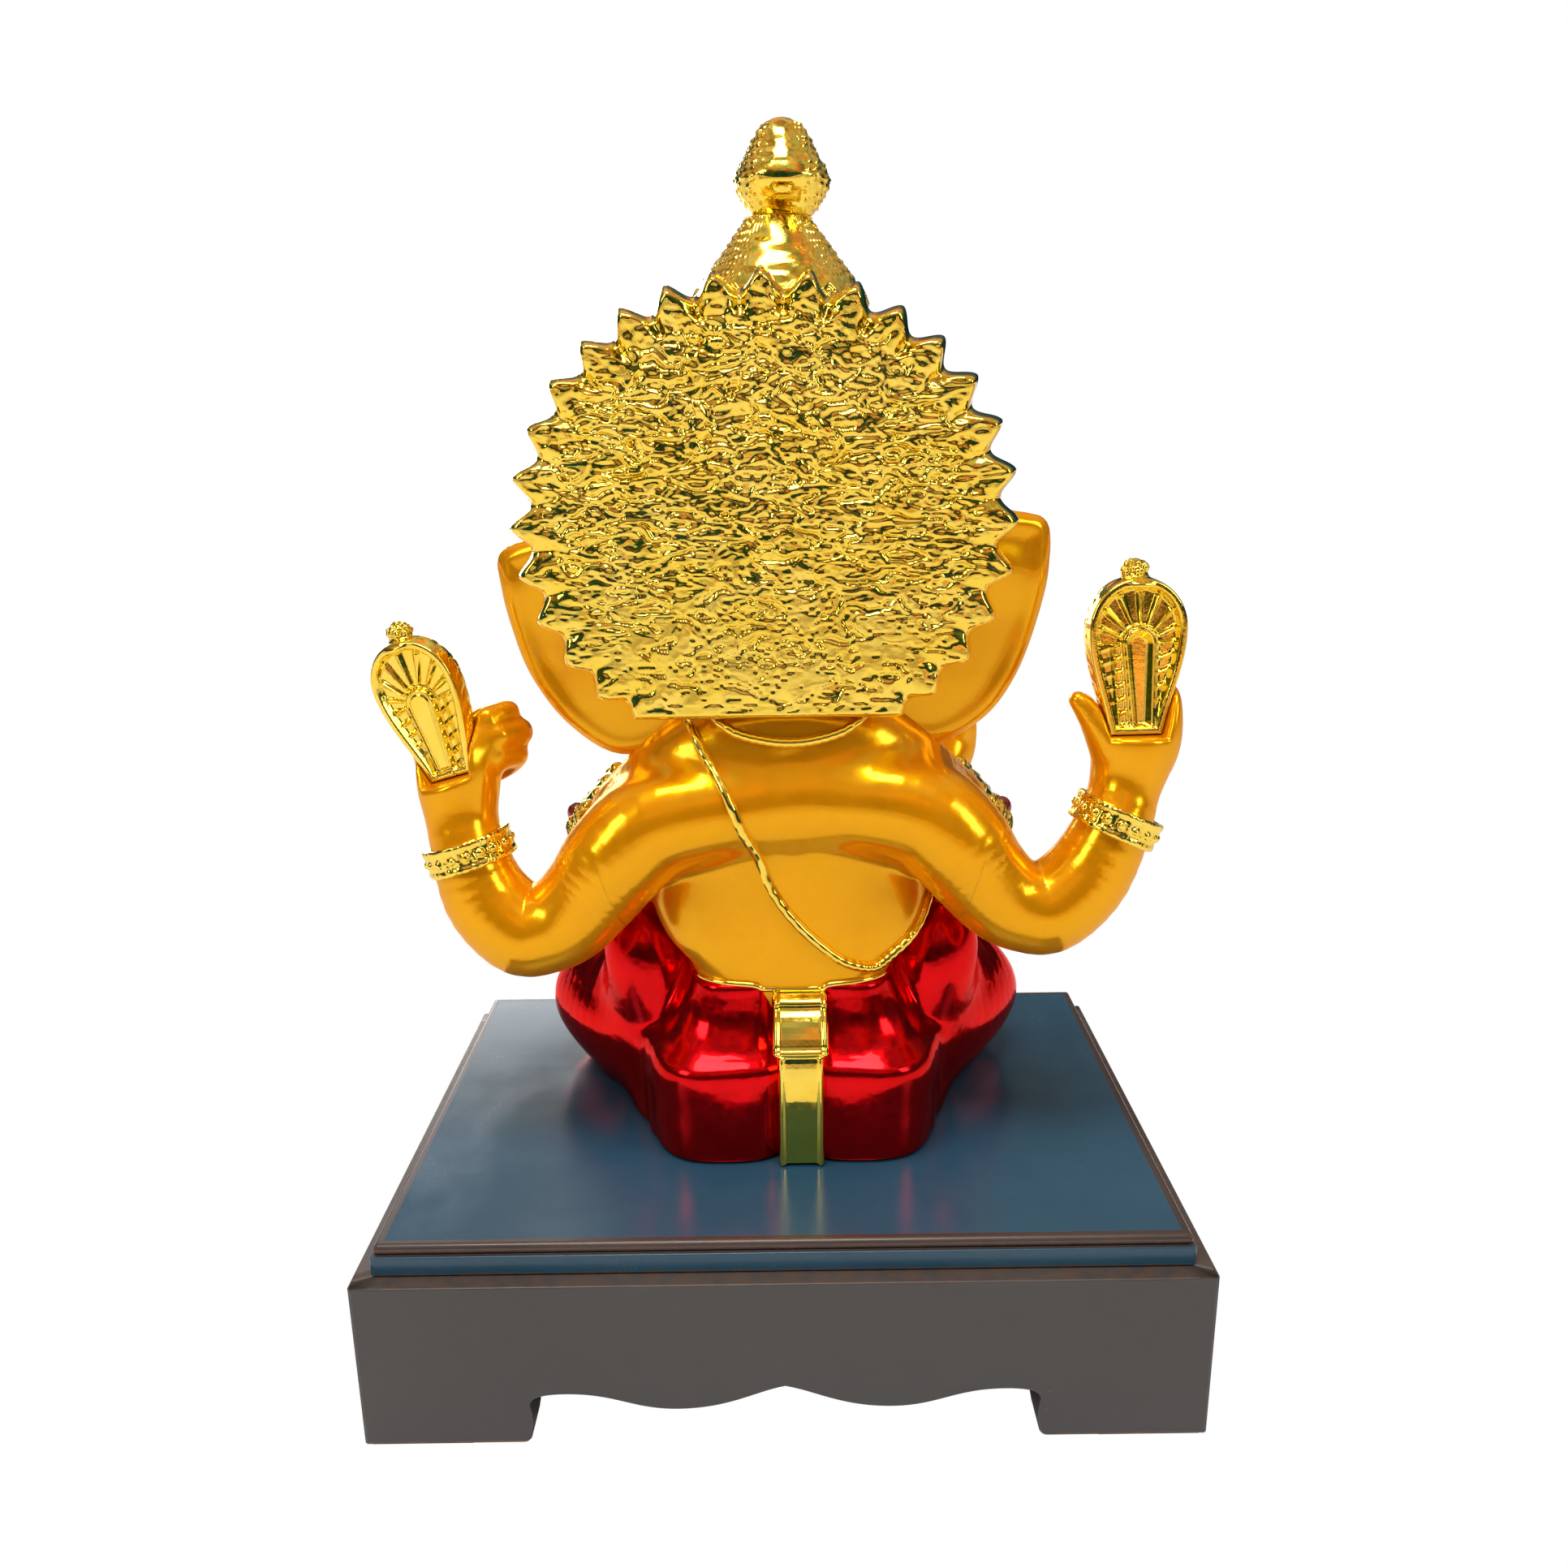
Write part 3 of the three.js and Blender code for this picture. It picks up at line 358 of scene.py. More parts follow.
def sweep(name, points, radius, material, slot, *nodes, sides=12, squash=1.0, normals=None, closed=True):
    """A cord of round section along points (figure millimetres)."""
    C = np.asarray(points, float)
    T = (np.roll(C, -1, 0) - np.roll(C, 1, 0)) if closed else np.gradient(C, axis=0)
    T /= np.linalg.norm(T, axis=1, keepdims=True)
    if normals is None:
        normals = np.tile([0.0, 0.0, 1.0], (len(C), 1))
    A = normals - np.einsum("ij,ij->i", normals, T)[:, None] * T
    A /= np.maximum(np.linalg.norm(A, axis=1, keepdims=True), 1e-6)
    B = np.cross(T, A)
    R = np.broadcast_to(np.asarray(radius, float), (len(C),))
    ang = np.linspace(0, 2 * np.pi, sides, endpoint=False)
    P = C[:, None] + R[:, None, None] * (np.cos(ang)[None, :, None] * A[:, None] * squash + np.sin(ang)[None, :, None] * B[:, None])
    P = P.transpose(1, 0, 2)  # u = round the section, v = along
    if closed:
        nu, nv = P.shape[:2]
        U, W = np.meshgrid(np.arange(nu), np.arange(nv), indexing="ij")
        Q = np.stack([U * nv + W, U * nv + (W + 1) % nv, ((U + 1) % nu) * nv + (W + 1) % nv, ((U + 1) % nu) * nv + W], -1).reshape(-1, 4)
        V, tris = P.reshape(-1, 3), None
    else:
        V, Q, tris = grid_mesh(name, P)
        Q = Q[:, ::-1]
        tris = tris[:, ::-1]
    me = new_mesh(name, V, Q, tris=tris)
    fix_normals(me)
    return piece(name, me, material, slot, *nodes)


def fix_normals(me):
    bm = bmesh.new()
    bm.from_mesh(me)
    bmesh.ops.recalc_face_normals(bm, faces=bm.faces)
    bm.to_mesh(me)
    bm.free()


def polygon_distance(X, Z, outline):
    """Signed distance in a plane to a closed outline."""
    A = np.asarray(outline, float)
    B = np.roll(A, -1, 0)
    best = np.full(len(X), 1e9)
    odd = np.zeros(len(X), bool)
    for (ax, az), (bx, bz) in zip(A, B):
        ex, ez = bx - ax, bz - az
        wx, wz = X - ax, Z - az
        t = np.clip((wx * ex + wz * ez) / max(ex * ex + ez * ez, 1e-12), 0, 1)
        best = np.minimum(best, (wx - t * ex) ** 2 + (wz - t * ez) ** 2)
        if az != bz:
            hit = ((az > Z) != (bz > Z)) & (X < (bx - ax) * (Z - az) / (bz - az) + ax)
            odd ^= hit
    d = np.sqrt(best)
    return np.where(odd, -d, d)


def closed_spline(points, count):
    S = np.asarray(points, float)
    n = len(S)
    t = np.arange(count) * n / count
    i = t.astype(int)
    u = (t - i)[:, None]
    p0, p1, p2, p3 = S[(i - 1) % n], S[i], S[(i + 1) % n], S[(i + 2) % n]
    return 0.5 * (2 * p1 + (p2 - p0) * u + (2 * p0 - 5 * p1 + 4 * p2 - p3) * u ** 2 + (3 * p1 - p0 - 3 * p2 + p3) * u ** 3)


def bezier(p0, p1, p2, p3, n):
    t = np.linspace(0, 1, n, endpoint=False)[:, None]
    p0, p1, p2, p3 = [np.array(p, float) for p in (p0, p1, p2, p3)]
    return (1 - t) ** 3 * p0 + 3 * (1 - t) ** 2 * t * p1 + 3 * (1 - t) * t ** 2 * p2 + t ** 3 * p3


# ---- materials --------------------------------------------------------------------------------------
class Look:
    """A node material, built link by link."""

    def __init__(self, name):
        self.m = bpy.data.materials.new(name)
        self.m.use_nodes = True
        self.t = self.m.node_tree
        self.t.nodes.clear()
        self.out = self.t.nodes.new("ShaderNodeOutputMaterial")
        self.place = self.add("TexCoord").outputs["Object"]

    def add(self, kind, settings=None, **inputs):
        n = self.t.nodes.new("ShaderNode" + kind)
        for k, v in (settings or {}).items():
            setattr(n, k, v)
        for k, v in inputs.items():
            socket = n.inputs[int(k[1:])] if k[1:].isdigit() else n.inputs[k.replace("_", " ")]
            if isinstance(v, bpy.types.NodeSocket):
                self.t.links.new(v, socket)
            else:
                socket.default_value = v
        return n

    def noise(self, per_mm, detail=3.0, rough=0.5, stretch=None, distortion=0.0):
        where = self.place
        if stretch:
            where = self.add("Mapping", Vector=where, Scale=stretch).outputs[0]
        return self.add("TexNoise", Vector=where, Scale=per_mm * 1000, Detail=detail, Roughness=rough, Distortion=distortion).outputs["Fac"]

    def math(self, op, a, b=0.0, clamp=False):
        return self.add("Math", {"operation": op, "use_clamp": clamp}, _0=a, _1=b).outputs[0]

    def ramp(self, value, lo, hi, to_lo=0.0, to_hi=1.0):
        return self.add("MapRange", {"interpolation_type": "SMOOTHSTEP"}, Value=value, From_Min=lo, From_Max=hi, To_Min=to_lo, To_Max=to_hi).outputs[0]

    def mix(self, fac, a, b):
        n = self.add("Mix", {"data_type": "RGBA"})
        for socket, v in ((n.inputs[0], fac), (n.inputs[6], a), (n.inputs[7], b)):
            if isinstance(v, bpy.types.NodeSocket):
                self.t.links.new(v, socket)
            else:
                socket.default_value = v if isinstance(v, (int, float)) else (*v, 1.0)
        return n.outputs[2]

    def bump(self, height, distance_mm, strength=1.0, normal=None):
        n = self.add("Bump", Strength=strength, Distance=distance_mm * MM, Height=height)
        if normal:
            self.t.links.new(normal, n.inputs["Normal"])
        return n.outputs[0]

    def surface(self, **inputs):
        b = self.add("BsdfPrincipled")
        for k, v in inputs.items():
            socket = b.inputs[k.replace("_", " ")]
            if isinstance(v, bpy.types.NodeSocket):
                self.t.links.new(v, socket)
            elif isinstance(v, tuple) and len(v) == 3:
                socket.default_value = (*v, 1.0)
            else:
                socket.default_value = v
        return b.outputs[0]

    def finish(self, shader):
        self.t.links.new(shader, self.out.inputs["Surface"])
        return self.m


def gold(name, bump_mm, fine, rough=(0.06, 0.16)):
    L = Look(name)
    cloudy = L.noise(0.12, 4.0)
    colour = L.mix(L.ramp(cloudy, 0.3, 0.7), (0.97, 0.77, 0.13), (0.95, 0.71, 0.08))
    specks = L.noise(1.6, 2.0)
    colour = L.mix(L.ramp(specks, 0.68, 0.78, 0.0, 0.35), colour, (0.45, 0.27, 0.05))
    roughness = L.ramp(L.noise(0.35, 5.0), 0.3, 0.75, *rough)
    normal = L.bump(L.noise(fine, 4.0, 0.55), bump_mm)
    return L.finish(L.surface(Base_Color=colour, Metallic=1.0, Roughness=roughness, Normal=normal))


def skin_lacquer():
    L = Look("pearl_gold_skin")
    broad = L.noise(0.035, 3.0)
    flakes = L.add("TexVoronoi", Vector=L.place, Scale=9000.0).outputs["Color"]
    hue = L.mix(L.ramp(broad, 0.3, 0.7), (0.91, 0.32, 0.0), (0.84, 0.285, 0.0))
    glitter = L.add("SeparateColor", _0=flakes).outputs[0]
    base = L.mix(L.math("MULTIPLY", glitter, 0.22), hue, (1.0, 0.48, 0.01))
    seam = seam_mask(L)
    base = L.mix(L.math("MULTIPLY", seam, 0.55), base, (0.42, 0.15, 0.01))
    waves = L.bump(L.noise(0.09, 2.0), 0.25, 0.5)
    grain = L.bump(L.noise(2.2, 2.0), 0.012, 0.7, waves)
    body = L.surface(Base_Color=base, Metallic=0.0, Roughness=L.ramp(L.noise(0.2, 4.0), 0.3, 0.7, 0.34, 0.46), Normal=grain,
                     Specular_IOR_Level=0.15, Specular_Tint=(1.0, 0.6, 0.08), Coat_Weight=0.3, Coat_Roughness=L.ramp(L.noise(0.5, 3.0), 0.35, 0.7, 0.02, 0.07), Coat_Normal=waves)
    pearl = L.mix(L.math("MULTIPLY", glitter, 0.3), (0.97, 0.57, 0.0), (1.0, 0.66, 0.02))
    gloss = L.surface(Base_Color=pearl, Metallic=1.0, Roughness=L.ramp(L.noise(0.3, 3.0), 0.3, 0.7, 0.16, 0.24), Normal=grain,
                      Specular_Tint=(1.0, 0.72, 0.12), Coat_Weight=0.3, Coat_Roughness=0.03, Coat_Normal=waves)
    share = L.ramp(broad, 0.25, 0.75, 0.42, 0.5)
    mixed = L.add("MixShader", _0=share, _1=body, _2=gloss).outputs[0]
    return L.finish(mixed)


def seam_mask(L):
    """A faint line round each glued shoulder seam of the rear arms."""
    total = None
    for s in (1, -1):
        p = (np.array((s * 44.0, 20.0, 71.0)) + ORIGIN) * MM
        n = np.array((s * 1.0, 0.0, -0.3)) / np.linalg.norm((1, 0.3))
        off = L.add("VectorMath", {"operation": "SUBTRACT"}, _0=L.place, _1=tuple(p)).outputs[0]
        along = L.add("VectorMath", {"operation": "DOT_PRODUCT"}, _0=off, _1=tuple(n)).outputs["Value"]
        wob = L.math("MULTIPLY", L.math("SUBTRACT", L.noise(0.15, 2.0), 0.5), 0.0012)
        dist = L.math("ABSOLUTE", L.math("ADD", along, wob))
        near = L.add("VectorMath", {"operation": "LENGTH"}, _0=off).outputs["Value"]
        line = L.math("MULTIPLY", L.ramp(dist, 0.0004, 0.0001, 0.0, 1.0), L.ramp(near, 0.019, 0.015, 0.0, 1.0))
        total = line if total is None else L.math("MAXIMUM", total, line)
    return L.math("MULTIPLY", total, L.ramp(L.noise(0.3, 3.0), 0.4, 0.6))


def candy(name="candy_red_cloth"):
    L = Look(name)
    colour = L.mix(L.ramp(L.noise(0.06, 4.0), 0.3, 0.7), (0.78, 0.0, 0.004), (0.60, 0.0, 0.002))
    glitter = L.add("SeparateColor", _0=L.add("TexVoronoi", Vector=L.place, Scale=7000.0).outputs["Color"]).outputs[0]
    colour = L.mix(L.math("MULTIPLY", glitter, 0.18), colour, (0.95, 0.01, 0.01))
    waves = L.bump(L.noise(0.16, 2.0), 0.35, 0.55)
    drag = L.bump(L.noise(0.5, 3.0, 0.5, (1.0, 1.0, 0.35)), 0.03, 0.6, waves)
    return L.finish(L.surface(Base_Color=colour, Metallic=0.92, Roughness=L.ramp(L.noise(0.4, 4.0), 0.3, 0.7, 0.13, 0.22), Normal=drag,
                              Specular_Tint=(1.0, 0.10, 0.10), Coat_Weight=0.15, Coat_Roughness=0.02, Coat_Normal=waves))


def enamel(name, colour, deep, rough, coat=1.0, grain=0.01, per_mm=0.5):
    L = Look(name)
    tone = L.mix(L.ramp(L.noise(per_mm, 4.0), 0.35, 0.65), colour, deep)
    normal = L.bump(L.noise(per_mm * 3, 3.0), grain, 0.8)
    return L.finish(L.surface(Base_Color=tone, Roughness=L.ramp(L.noise(per_mm * 2, 3.0), 0.3, 0.7, rough, rough * 1.5), Normal=normal,
                              Coat_Weight=coat, Coat_Roughness=0.04))


def ivory():
    L = Look("tusk_ivory")
    lines = L.add("TexWave", {"bands_direction": "Y"}, Vector=L.place, Scale=180.0, Distortion=5.0, Detail=3.0, Detail_Scale=2.0).outputs["Fac"]
    tone = L.mix(L.ramp(lines, 0.2, 0.9), (0.90, 0.83, 0.66), (0.80, 0.70, 0.50))
    return L.finish(L.surface(Base_Color=tone, Roughness=L.ramp(L.noise(0.8, 4.0), 0.3, 0.7, 0.28, 0.42), Normal=L.bump(lines, 0.03), Coat_Weight=0.6,
                              Coat_Roughness=0.08, Subsurface_Weight=0.15, Subsurface_Scale=0.002))


def eye(name, side):
    """A painted eye: cream enamel, brown iris, black pupil, and a white dot that is a painted highlight."""
    s = 1 if side == "left" else -1
    L = Look(name)

    def ring(at, lo, hi):
        c = tuple((np.array(at, float) + ORIGIN) * MM)
        off = L.add("VectorMath", {"operation": "DISTANCE"}, _0=L.place, _1=c).outputs["Value"]
        return L.ramp(off, hi * MM, lo * MM, 0.0, 1.0)
    c = (s * 14.9, -30.0, 142.8)
    tone = L.mix(L.ramp(L.noise(1.0, 3.0), 0.4, 0.7), (0.90, 0.87, 0.80), (0.86, 0.80, 0.72))
    streak = L.noise(3.0, 3.0, 0.6)
    iris = L.mix(streak, (0.16, 0.055, 0.012), (0.32, 0.13, 0.03))
    tone = L.mix(ring(c, 1.95, 2.15), tone, iris)
    tone = L.mix(ring(c, 0.95, 1.1), tone, (0.006, 0.005, 0.005))
    # painted highlight: a white catchlight dot, up and to the figure's right of the pupil in both eyes
    tone = L.mix(ring((s * 14.9 - 0.7, -30.2, 143.6), 0.3, 0.4), tone, (0.95, 0.95, 0.95))
    return L.finish(L.surface(Base_Color=tone, Roughness=0.12, Normal=L.bump(L.noise(1.5, 2.0), 0.01), Coat_Weight=1.0, Coat_Roughness=0.02))


def dusty(L, base, amount=0.75, cover=0.70):
    """Fine pale dust specks, scattered at random."""
    cells = L.add("TexVoronoi", Vector=L.place, Scale=230.0)
    size = L.add("SeparateColor", _0=cells.outputs["Color"]).outputs
    spot = L.ramp(cells.outputs["Distance"], L.math("MULTIPLY", size[1], 0.055), 0.0, 0.0, 1.0)
    keep = L.math("GREATER_THAN", size[0], cover)
    return L.mix(L.math("MULTIPLY", L.math("MULTIPLY", spot, keep), amount), base, (0.62, 0.60, 0.56))


def lacquer(name, dark, light, rough, edge_planes=(), wear=(0.16, 0.085, 0.035), shine=0.25):
    """Dark satin lacquer on wood: faint grain, smudges, polish marks, dust, and brown where edges are worn."""
    L = Look(name)
    grain = L.noise(0.25, 6.0, 0.6, (0.06, 1.0, 1.0))
    smudge = L.noise(0.02, 5.0, 0.6, None, 0.6)
    tone = L.mix(L.ramp(smudge, 0.35, 0.7), dark, light)
    tone = L.mix(L.ramp(grain, 0.62, 0.8, 0.0, 0.25), tone, tuple(c * 0.5 for c in dark))
    for (p, n, width, strength) in edge_planes:
        off = L.add("VectorMath", {"operation": "SUBTRACT"}, _0=L.place, _1=tuple(p)).outputs[0]
        d = L.math("ABSOLUTE", L.add("VectorMath", {"operation": "DOT_PRODUCT"}, _0=off, _1=tuple(n)).outputs["Value"])
        broken = L.math("MULTIPLY", L.ramp(d, width, width * 0.35, 0.0, strength), L.ramp(L.noise(0.25, 4.0), 0.35, 0.6, 0.35, 1.0))
        tone = L.mix(broken, tone, wear)
    tone = dusty(L, tone)
    r = L.math("ADD", L.ramp(smudge, 0.3, 0.7, rough[0], rough[1]), L.ramp(L.noise(1.2, 3.0), 0.3, 0.8, 0.0, 0.05))
    normal = L.bump(grain, 0.02, 0.5)
    normal = L.bump(L.noise(0.05, 3.0), 0.5, 0.12, normal)
    return L.finish(L.surface(Base_Color=tone, Roughness=r, Normal=normal, Specular_IOR_Level=2 * shine,
                              Coat_Weight=shine, Coat_Roughness=0.22))


def raw_wood():
    L = Look("raw_wood")
    rings = L.add("TexWave", {"wave_type": "RINGS", "rings_direction": "Y"}, Vector=L.add("Mapping", Vector=L.place, Scale=(1, 0.08, 1)).outputs[0],
                  Scale=120.0, Distortion=6.0, Detail=4.0, Detail_Scale=1.5).outputs["Fac"]
    fibre = L.noise(0.6, 6.0, 0.65, (0.08, 1, 1))
    tone = L.mix(rings, (0.44, 0.29, 0.15), (0.30, 0.18, 0.08))
    tone = L.mix(L.ramp(fibre, 0.4, 0.7, 0.0, 0.5), tone, (0.20, 0.12, 0.05))
    return L.finish(L.surface(Base_Color=tone, Roughness=L.ramp(fibre, 0.3, 0.7, 0.6, 0.85), Normal=L.bump(fibre, 0.12)))


def felt():
    L = Look("felt")
    fluff = L.noise(2.2, 6.0, 0.7)
    tone = L.mix(fluff, (0.012, 0.012, 0.013), (0.06, 0.058, 0.055))
    return L.finish(L.surface(Base_Color=tone, Roughness=0.95, Normal=L.bump(fluff, 0.3), Sheen_Weight=0.5))


def steel():
    L = Look("screw_steel")
    brush = L.noise(1.0, 5.0, 0.6, (1, 1, 8))
    return L.finish(L.surface(Base_Color=L.mix(brush, (0.62, 0.62, 0.60), (0.45, 0.45, 0.44)), Metallic=1.0, Roughness=L.ramp(brush, 0.3, 0.7, 0.22, 0.42), Normal=L.bump(brush, 0.02)))


TOP_Z, DECK_Z = slab_hi.z, slab_lo.z
SKIN = skin_lacquer()
CANDY = candy()
GOLD = gold("gold_plating", 0.02, 1.1)
PLATE_GOLD = gold("gold_plate_back", 0.04, 0.8, (0.05, 0.12))
GEM = enamel("red_gem", (0.33, 0.004, 0.012), (0.16, 0.0, 0.008), 0.05)
IVORY = ivory()
EYE = {"left": eye("eye_enamel_left", "left"), "right": eye("eye_enamel_right", "right")}
SWEET = enamel("modak_sweet", (0.86, 0.52, 0.12), (0.78, 0.40, 0.07), 0.3, 0.7)
APRON = lacquer("plinth_lacquer", (0.046, 0.048, 0.052), (0.056, 0.058, 0.062), (0.40, 0.52),
                [((0, 0, DECK_Z - 0.0003), (0, 0, 1), 0.0004, 0.35), ((0, 0, 0.0014), (0, 0, 1), 0.0008, 0.8)])
# painted reflection: the slab's blue-teal base colour stands in for the dark teal room mirrored in its glossy lacquer,
# the same lacquer as the aprons
SLAB_PAINTED_REFLECTION = lacquer("slab_lacquer_painted_reflection", (0.020, 0.080, 0.138), (0.027, 0.094, 0.158), (0.15, 0.25), [((0, 0, DECK_Z + 0.0002), (0, 0, 1), 0.0005, 0.8)], shine=0.2)
NOSING = lacquer("slab_nosing", (0.050, 0.036, 0.032), (0.066, 0.046, 0.040), (0.28, 0.38), [((0, 0, TOP_Z - 0.0016), (0, 0, 1), 0.0012, 0.4)], (0.13, 0.075, 0.05))
WOOD, FELT, STEEL = raw_wood(), felt(), steel()


# ---- the held emblems' outline and stance ------------------------------------------------------------
def emblem_outline():
    up = bezier((-6.4, 0), (-8.9, 11.7), (-12, 16.9), (-12, 26), 14)
    a = np.linspace(math.pi, 0, 30)
    arc = np.stack([12 * np.cos(a), 26 + 12 * np.sin(a)], 1)
    down = up[::-1] * (-1, 1)
    return np.concatenate([up, arc, down])


EMBLEM_OUTLINE = emblem_outline()
EMBLEM = {"left": ((83.4, 18, 98.5), (-6, 17.5, -16), 0.93), "right": ((-85.2, 18, 107), (5, 0, 4), 1.0)}


# ---- skin: the torso with its four arms -----------------------------------------------------------
# height, half width, how far back, how far front, squareness behind
TORSO = curve1([(26, 20, 20, -18, 3), (36, 24, 24, -22, 3.6), (47, 26.5, 26, -29, 4.2), (55, 33.6, 26, -35, 3.6), (63, 36.8, 25.6, -38, 3.0),
                (72, 35.5, 25.2, -37, 2.8), (80, 34.5, 25.5, -33, 2.7), (90, 32, 26.5, -25, 2.6), (98, 31, 26, -17, 2.5), (104, 29.5, 24.5, -12, 2.4),
                (110, 27, 22.5, -10, 2.3), (116, 23, 20.5, -10, 2.3), (124, 18, 17, -10, 2.2)])
REAR_ARM = {"left": [(4, 16.5, 90.5, 12.6), (20, 18, 89.5, 13.1), (34, 19, 86, 13.5), (43, 20, 78, 13.3), (49.5, 20, 69.5, 12.3), (56, 20, 62.5, 11.8),
                     (62, 20, 59.6, 11.7), (68.5, 20, 59.4, 11.6), (76.5, 19, 67.5, 10.8), (80.5, 18, 80, 9.2), (83, 14, 92, 8.6), (83, 11, 100, 8)],
            "right": [(-4, 16.5, 91.5, 12.6), (-20, 18, 91, 13.1), (-33, 19, 88, 13.5), (-41, 20, 81, 13.3), (-47, 20, 73, 12.3), (-53, 20, 66.5, 11.8),
                      (-59, 20, 63.6, 11.7), (-65.5, 20, 63.6, 11.6), (-74.5, 19, 71.5, 10.8), (-81, 18, 85, 9.2), (-84.5, 13, 95, 8.4), (-86, 10, 104, 8)]}
FRONT_ARM = {"left": [(24, -1, 85, 14), (37, -2, 81.5, 13.6), (43.4, -3, 74.5, 13.2), (48, -8, 64, 12.4), (49.5, -17, 57, 11.4), (46, -28, 55, 10.4),
                      (40, -36, 55, 9.2), (32, -45, 55.5, 7.8), (24, -50, 55, 6.5)],
             "right": [(-24, -1, 86, 14), (-36, -2, 83, 13.6), (-42.4, -3, 76.5, 13.2), (-47.6, -9, 65, 12.4), (-50, -20, 58, 11), (-49.4, -30, 60, 10),
                       (-48, -38, 66, 8.8), (-46.5, -44, 75, 7.4), (-46, -46, 84, 6.5)]}
# each arm is glued on at its own seam: a point on the seam and the direction out of the body
SEAM = {"rear_left_arm": ((44, 20, 71), (1, 0, -0.3)), "rear_right_arm": ((-44, 20, 71), (-1, 0, -0.3)),
        "front_left_arm": ((44.6, -3.4, 75), (0.5, -0.14, -0.86)), "front_right_arm": ((-44.6, -3.4, 75), (-0.5, -0.14, -0.86))}


SHOULDER = [tube([(s * 4, 8, 108, 14), (s * 16, 9, 103.5, 14), (s * 28, 8, 95, 13.4), (s * 38, 5, 85, 12)], 20, 12) for s in (1, -1)]


def torso_field(P):
    a, back, front, square = TORSO(P[:, 2])
    x, y = P[:, 0], P[:, 1] + 3.0
    behind = y > 0
    b = np.where(behind, back + 3.0, -3.0 - front)
    n = np.where(behind, square, 2.1)
    q = ((np.abs(x) / a) ** n + (np.abs(y) / b) ** n) ** (1 / n)
    r = np.sqrt(x * x + y * y)
    d = r * (1 - 1 / np.maximum(q, 1e-4))
    for slope in SHOULDER:
        d = smin(d, slope(P), 6)
    d = smax(d, P[:, 2] - 121, 3)
    return smax(d, 30 - P[:, 2], 2)


def finger(*stations):
    return tube(stations, count=4 * len(stations), reach=6.0)


def rear_hand(s, x, y, z):
    """A hand closed round an emblem's foot: its back behind, knuckles towards the body, or a raised thumb."""
    if s > 0:
        return [ellipsoid((x - 0.4, y + 1, z - 3.5), (9.6, 8.4, 11.5), (0, -4, 0)),
                ellipsoid((x - 7.6, y - 3.5, z + 3.6), (6.0, 7.4, 8.0), (0, 14, 0)),
                ellipsoid((x + 6.6, y - 1.5, z - 0.5), (3.6, 6.4, 8.2), (0, 8, 0)),
                finger((x - 4, y - 8, z - 7, 3.4), (x - 10, y - 9, z - 4, 3.5), (x - 13.0, y - 5, z - 0.6, 3.5), (x - 10, y + 0, z - 0.4, 3.0)),
                finger((x - 2, y - 10, z - 1, 3.6), (x - 9, y - 11, z + 1.5, 3.8), (x - 14.2, y - 6, z + 4.6, 3.7), (x - 11, y - 0.4, z + 5, 3.2)),
                finger((x - 1, y - 10, z + 5, 3.5), (x - 8, y - 10, z + 7.6, 3.6), (x - 11.8, y - 5, z + 9.8, 3.2), (x - 8, y - 1, z + 9.4, 2.8)),
                finger((x + 8, y - 4, z - 4, 3.4), (x + 9.4, y - 5, z + 2, 3.1), (x + 8.4, y - 7, z + 8, 2.7))]
    return [ellipsoid((x + 0.2, y + 1, z - 3.5), (9.8, 8.4, 12), (0, 3, 0)),
            ellipsoid((x - 7.4, y - 1.5, z + 0.5), (3.8, 7.2, 10.4), (0, -5, 0)),
            ellipsoid((x + 7.6, y - 0.5, z - 2), (4.2, 6, 8), (0, 20, 0)),
            finger((x + 6.4, y + 1, z - 5, 4.4), (x + 9.4, y + 0.5, z + 0.5, 3.9), (x + 12.6, y, z + 5.0, 3.0), (x + 14.6, y - 0.4, z + 7.0, 2.2)),
            finger((x - 8, y - 4, z - 2, 3.6), (x - 9.4, y - 9, z - 1, 3.6), (x - 4, y - 13, z - 1, 3.4), (x + 4, y - 12.6, z, 2.9)),
            finger((x - 8, y - 4, z + 4, 3.6), (x - 9.4, y - 9, z + 5.4, 3.5), (x - 4, y - 13, z + 5.6, 3.3), (x + 4, y - 12.4, z + 6, 2.8))]


def blessing_hand(x, y, z):
    """The open right hand, palm forward, fingers up."""
    parts = [ellipsoid((x, y, z), (10, 5, 10.6))]
    for dx, length, lean in ((-7.4, 9.5, -1.6), (-2.7, 12.5, -0.5), (2.1, 12.8, 0.5), (6.6, 10.6, 1.6)):
        parts.append(finger((x + dx * 0.8, y + 0.4, z + 4, 2.9), (x + dx + lean * 0.4, y - 0.4, z + 10.5, 2.7),
                            (x + dx + lean, y - 1.2, z + 10 + length * 0.55, 2.45), (x + dx + lean * 1.4, y - 2.2, z + 9 + length, 2.0)))
    parts.append(finger((x + 6, y - 1, z - 5, 3.6), (x + 11, y - 2.6, z - 1, 3.1), (x + 13.4, y - 3.6, z + 4.4, 2.5)))
    return parts


def bowl_hand(x, y, z):
    """The open left hand, palm up under the bowl, fingers curling forward."""
    parts = [ellipsoid((x, y, z), (10.5, 9.2, 4.4))]
    for dy, reach in ((-5.6, -15.5), (-1.8, -17.5), (2.2, -17), (5.8, -14)):
        parts.append(finger((x - 5, y + dy * 0.8, z, 2.9), (x - 10, y + dy, z - 0.4, 2.7), (x + reach, y + dy, z + 1.2, 2.3)))
    parts.append(finger((x + 6, y - 5, z, 3.3), (x + 4, y - 10.4, z + 1.6, 2.9), (x - 1, y - 13, z + 3.6, 2.3)))
    return parts


def held_room(side, P):
    """The room an emblem takes out of the hand that holds it, open towards the back."""
    foot, turn, size = EMBLEM[side]
    q = (P - np.array(foot, float)) @ turned_by(turn) / size
    flat = polygon_distance(q[:, 0], q[:, 2], EMBLEM_OUTLINE[::3])
    return np.maximum(np.maximum(flat - 0.3, -q[:, 2] - 0.2), -q[:, 1] - 9.6)


